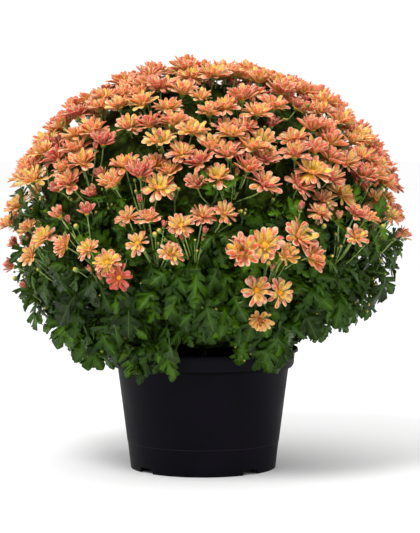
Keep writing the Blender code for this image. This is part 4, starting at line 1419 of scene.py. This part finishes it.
# Finishes
petalColours = screenColours(
    throat=(255, 202, 8), amber=(252, 158, 14), orange=(238, 98, 14), salmon=(240, 84, 56), pink=(244, 106, 94),
    tip=(251, 170, 142), peach=(255, 224, 164), crimson=(192, 28, 40), rose=(230, 78, 76), straw=(255, 194, 64),
    buff=(242, 186, 96), backPink=(208, 86, 66), backRose=(172, 34, 68),
)


def petalFinish():
    colours = petalColours
    material, tree, shader = newMaterial("coralPetals")
    along, across, under = attributes(tree, "along", "across", "under")
    petalTone, bloomTone, inner = attributes(tree, "petalTone", "bloomTone", "inner")
    flat = addNode(tree, "ShaderNodeCombineXYZ", {
        0: times(tree, along, 1.3),
        1: times(tree, across, 1.7, times(tree, petalTone, 60.0)),
        2: times(tree, bloomTone, 40.0),
    })
    streak = grain(tree, flat, 1.9)
    fleck = grain(tree, flat, 4.6, 1.0)
    cloud = grain(tree, objectPlace(tree), 90.0)
    # the face runs from the yellow throat to the pale tip, and each petal and cloud shifts it
    where = times(tree, calc(tree, "SUBTRACT", petalTone, 0.5), 0.60, along)
    where = times(tree, inner, -0.55, where)
    where = times(tree, calc(tree, "SUBTRACT", cloud, 0.5), 0.35, where)
    stops = ((0.32, "throat"), (0.43, "amber"), (0.53, "orange"), (0.65, "salmon"), (0.82, "pink"), (0.98, "tip"))
    face = ramp(tree, where, [(place, colours[name]) for place, name in stops])
    redness = times(tree, spread(tree, streak, 0.53, 0.68), spread(tree, bloomTone, 0.1, 0.8, 0.30, 0.80))
    pale = spread(tree, bloomTone, 1.0, 1.25, 1, 0.2)
    edge = spread(tree, calc(tree, "ABSOLUTE", across), 0.45, 0.90, 0, 0.90)
    margin = times(tree, edge, spread(tree, along, 0.1, 0.5))
    face = tinted(
        tree, face,
        (spread(tree, bloomTone, 0.45, 1.0, 0, 0.55), colours["rose"]),
        (spread(tree, bloomTone, 1.0, 1.25, 0, 0.75), colours["crimson"]),
        (spread(tree, bloomTone, 0.40, 0.0, 0, 0.65), colours["straw"]),
        (redness, colours["crimson"]),
        (times(tree, pale, spread(tree, fleck, 0.52, 0.68, 0, 0.80)), colours["peach"]),
        (times(tree, pale, margin), colours["peach"]),
    )
    back = tinted(
        tree, ramp(tree, along, ((0.0, colours["buff"]), (0.60, colours["buff"]), (1.0, colours["pink"]))),
        (spread(tree, streak, 0.48, 0.58, 0, 0.80), colours["backPink"]),
        (spread(tree, bloomTone, 0.55, 0.95, 0, 0.75), colours["backRose"]),
    )
    colour = mixColour(tree, spread(tree, under, 0.31, 0.52), face, back)
    dress(tree, shader, colour, spread(tree, cloud, 0.3, 0.7, 0.50, 0.66))
    shader.inputs["Subsurface Weight"].default_value = 0.30
    shader.inputs["Subsurface Scale"].default_value = 0.006
    ribs = calc(tree, "SINE", times(tree, across, 8.0, 1.57))
    emboss(tree, shader, times(tree, streak, 0.8, ribs), 0.35, 0.0006)
    return material


heartColours = screenColours(plain=(255, 188, 6), shade=(226, 150, 10))


def heartFinish():
    material, tree, shader = newMaterial("yellowHeart")
    cells = voronoi(tree, objectPlace(tree), 900.0)
    dress(tree, shader, mixColour(tree, spread(tree, cells, 0.1, 0.6), *heartColours.values()), 0.7)
    emboss(tree, shader, cells, 0.6, 0.0006, True)
    return material


budColours = screenColours(foot=(104, 128, 34), side=(152, 154, 52), top=(204, 166, 74), blush=(190, 130, 88))


def budFinish():
    colours = budColours
    material, tree, shader = newMaterial("budTips")
    stops = ((0.2, colours["foot"]), (0.6, colours["side"]), (1.0, colours["top"]))
    blush = spread(tree, grain(tree, objectPlace(tree), 400.0), 0.5, 0.75, 0, 0.5)
    colour = mixColour(tree, blush, ramp(tree, attribute(tree, "along"), stops), colours["blush"])
    dress(tree, shader, colour, 0.55)
    return material


def greenFinish(name, light, dark, rough):
    # calyces, pedicels and stems, as pale and as dark as these screen colours
    material, tree, shader = newMaterial(name)
    place = objectPlace(tree)
    mottle, fine = grain(tree, place, 60.0, 3.0), grain(tree, place, 900.0)
    colour = mixColour(tree, spread(tree, mottle, 0.3, 0.7), screenColour(*dark), screenColour(*light))
    dress(tree, shader, colour, spread(tree, fine, 0.3, 0.7, rough, rough + 0.15))
    emboss(tree, shader, fine, 0.3, 0.0003)
    return material


# the grey-green sheen colour is a painted sheen, the sky's reflection on the leaves
leafColours = screenColours(
    deep=(10, 19, 0), fresh=(34, 66, 0), cool=(60, 94, 16), young=(84, 128, 4), back=(58, 80, 14),
    vein=(86, 118, 20),
)


def leafFinish():
    colours = leafColours
    material, tree, shader = newMaterial("lobedLeaves")
    along, across, under, tone, cool = attributes(tree, "along", "across", "under", "leafTone", "leafCool")
    place = objectPlace(tree)
    mottle, fine = grain(tree, place, 45.0, 4.0), grain(tree, place, 420.0, 3.0)
    stops = ((0.15, colours["deep"]), (0.60, colours["fresh"]), (1.0, colours["young"]))
    # the veins slant away from the midrib
    out = calc(tree, "ABSOLUTE", across)
    slant = times(tree, out, -0.95, along)
    wave = calc(tree, "ABSOLUTE", calc(tree, "SINE", times(tree, slant, 21.0)))
    sideVein = times(tree, spread(tree, wave, 0.20, 0.02), 0.45)
    vein = calc(tree, "MAXIMUM", sideVein, spread(tree, out, 0.012, 0.004), clamp=True)
    colour = tinted(
        tree, ramp(tree, times(tree, mottle, 0.5, times(tree, tone, 0.7)), stops),
        # painted sheen: a grey-green tint laid on the leaves as the sky's reflection
        (times(tree, cool, 0.60), colours["cool"]),
        (times(tree, vein, 0.40), colours["vein"]),
        (spread(tree, under, 0.5, 0.7, 0, 0.8), colours["back"]),
    )
    dress(tree, shader, colour, spread(tree, fine, 0.3, 0.7, 0.22, 0.38), 0.18)
    blister = times(tree, vein, -1.2, times(tree, mottle, 0.8, fine))
    emboss(tree, shader, blister, 0.5, 0.0008)
    return material


# painted shade colours for the inner growth, with lit clumps as painted light
shadeColours = screenColours(lit=(54, 72, 16), deep=(24, 32, 7), fleck=(70, 94, 22))


def shadeFinish():
    colours = shadeColours
    material, tree, shader = newMaterial("shadedGrowth")
    place = objectPlace(tree)
    clumps = voronoi(tree, place, 55.0)
    mottle = grain(tree, place, 120.0, 4.0)
    # painted light and shade: lit clumps with deep patches between them, for the shadowed depth of the growth
    colour = tinted(
        tree, colours["lit"],
        (spread(tree, clumps, 0.1, 0.6), colours["deep"]),
        (spread(tree, mottle, 0.45, 0.75, 0, 0.6), colours["fleck"]),
    )
    dress(tree, shader, colour, 0.85, 0.05)
    emboss(tree, shader, times(tree, mottle, 0.6, clumps), 1.0, 0.006, True)
    return material


# the band's colour is a painted highlight, the near black is painted shade under the band, and the seam's colour
# is a painted highlight line
plasticColours = screenColours(
    shade=(9, 8, 14), plain=(14, 12, 20), band=(19, 18, 24), dirt=(1, 1, 1), seam=(30, 29, 37),
)
# where the painted shade under the band starts, is full and ends, from the band's foot, and the half width of the
# seam's painted highlight line
plasticLines = {"dirt": (-0.0045, -0.0020, 0, 0.0008), "bandEdge": 0.001, "seam": (0.0009, 0.0003)}


def plasticFinish():
    colours = plasticColours
    material, tree, shader = newMaterial("blackPlastic")
    place = objectPlace(tree)
    pebble, cloud = grain(tree, place, 1400.0), grain(tree, place, 14.0, 3.0)
    # the band is painted paler as a painted highlight, and the corner under it is darkened with painted shade
    height = addNode(tree, "ShaderNodeSeparateXYZ", {0: place}).outputs[2]
    edge = pot["bandFoot"]
    start, full, ebb, end = (edge + step for step in plasticLines["dirt"])
    dirt = times(tree, spread(tree, height, start, full), spread(tree, height, end, ebb))
    seam = calc(tree, "ABSOLUTE", calc(tree, "SUBTRACT", height, pot["seam"]))
    colour = tinted(
        tree, colours["shade"],
        (spread(tree, cloud, 0.3, 0.7), colours["plain"]),
        # painted highlight: the band above its foot made paler
        (spread(tree, height, edge, edge + plasticLines["bandEdge"], 0, 0.5), colours["band"]),
        # painted shade: a near black line just under the band's foot
        (dirt, colours["dirt"]),
        # painted highlight: a pale line along the seam step
        (spread(tree, seam, *plasticLines["seam"], 0, 0.8), colours["seam"]),
    )
    dress(tree, shader, colour, spread(tree, cloud, 0.3, 0.7, 0.44, 0.56), 0.04)
    emboss(tree, shader, pebble, 0.25, 0.0003)
    return material


soilColours = screenColours(damp=(22, 16, 12), plain=(50, 36, 26), dry=(84, 64, 46))


def soilFinish():
    colours = soilColours
    material, tree, shader = newMaterial("pottingSoil")
    place = objectPlace(tree)
    clods, fine = grain(tree, place, 160.0, 5.0), grain(tree, place, 900.0, 3.0)
    stops = ((0.3, colours["damp"]), (0.6, colours["plain"]), (0.8, colours["dry"]))
    dress(tree, shader, ramp(tree, clods, stops), 0.95)
    emboss(tree, shader, times(tree, fine, 0.4, clods), 0.9, 0.003)
    return material


makeStudio()
print("studio ready")
petals = petalFinish()
calyxGreen = greenFinish("calyxGreen", (112, 142, 60), (66, 96, 36), 0.5)
pedicelGreen = greenFinish("pedicelGreen", (152, 176, 92), (98, 130, 56), 0.45)
shootGreen = greenFinish("shootGreen", (84, 112, 44), (44, 70, 24), 0.5)
woodyGreen = greenFinish("woodyStem", (96, 92, 54), (58, 52, 32), 0.65)
makePot(plasticFinish())
earth = soilFinish()
makeSoil(earth)
makeCrumbs(earth)
print("pot and soil ready")
sprays = [Spray(number, flowers) for number, flowers in enumerate(flowerLayout(), start=1)]
addFillers(sprays)
addBuds(sprays)
bloomFormSet = makeBloomForms(petals)
flowerFinishes = {"Petal": petals, "Heart": heartFinish(), "Calyx": calyxGreen, "Bud": budFinish()}
makeBlooms(sprays, bloomFormSet, flowerFinishes)
print("blooms ready")
tubes = tubeTree()
makeStalks(sprays, tubes, pedicelGreen)
makeLeaves(sprays, leafFinish(), tubes, shootGreen, bloomFormSet, flowerFinishes)
makeInnerGrowth(shadeFinish())
makeMainStems(tubes, woodyGreen)
print("leaves and stems ready")

triangles = 0
for obj in scene.objects:
    if obj.type == "MESH" and not obj.hide_render:
        triangles += sum(len(face.vertices) - 2 for face in obj.data.polygons)
print("triangles shown", triangles)
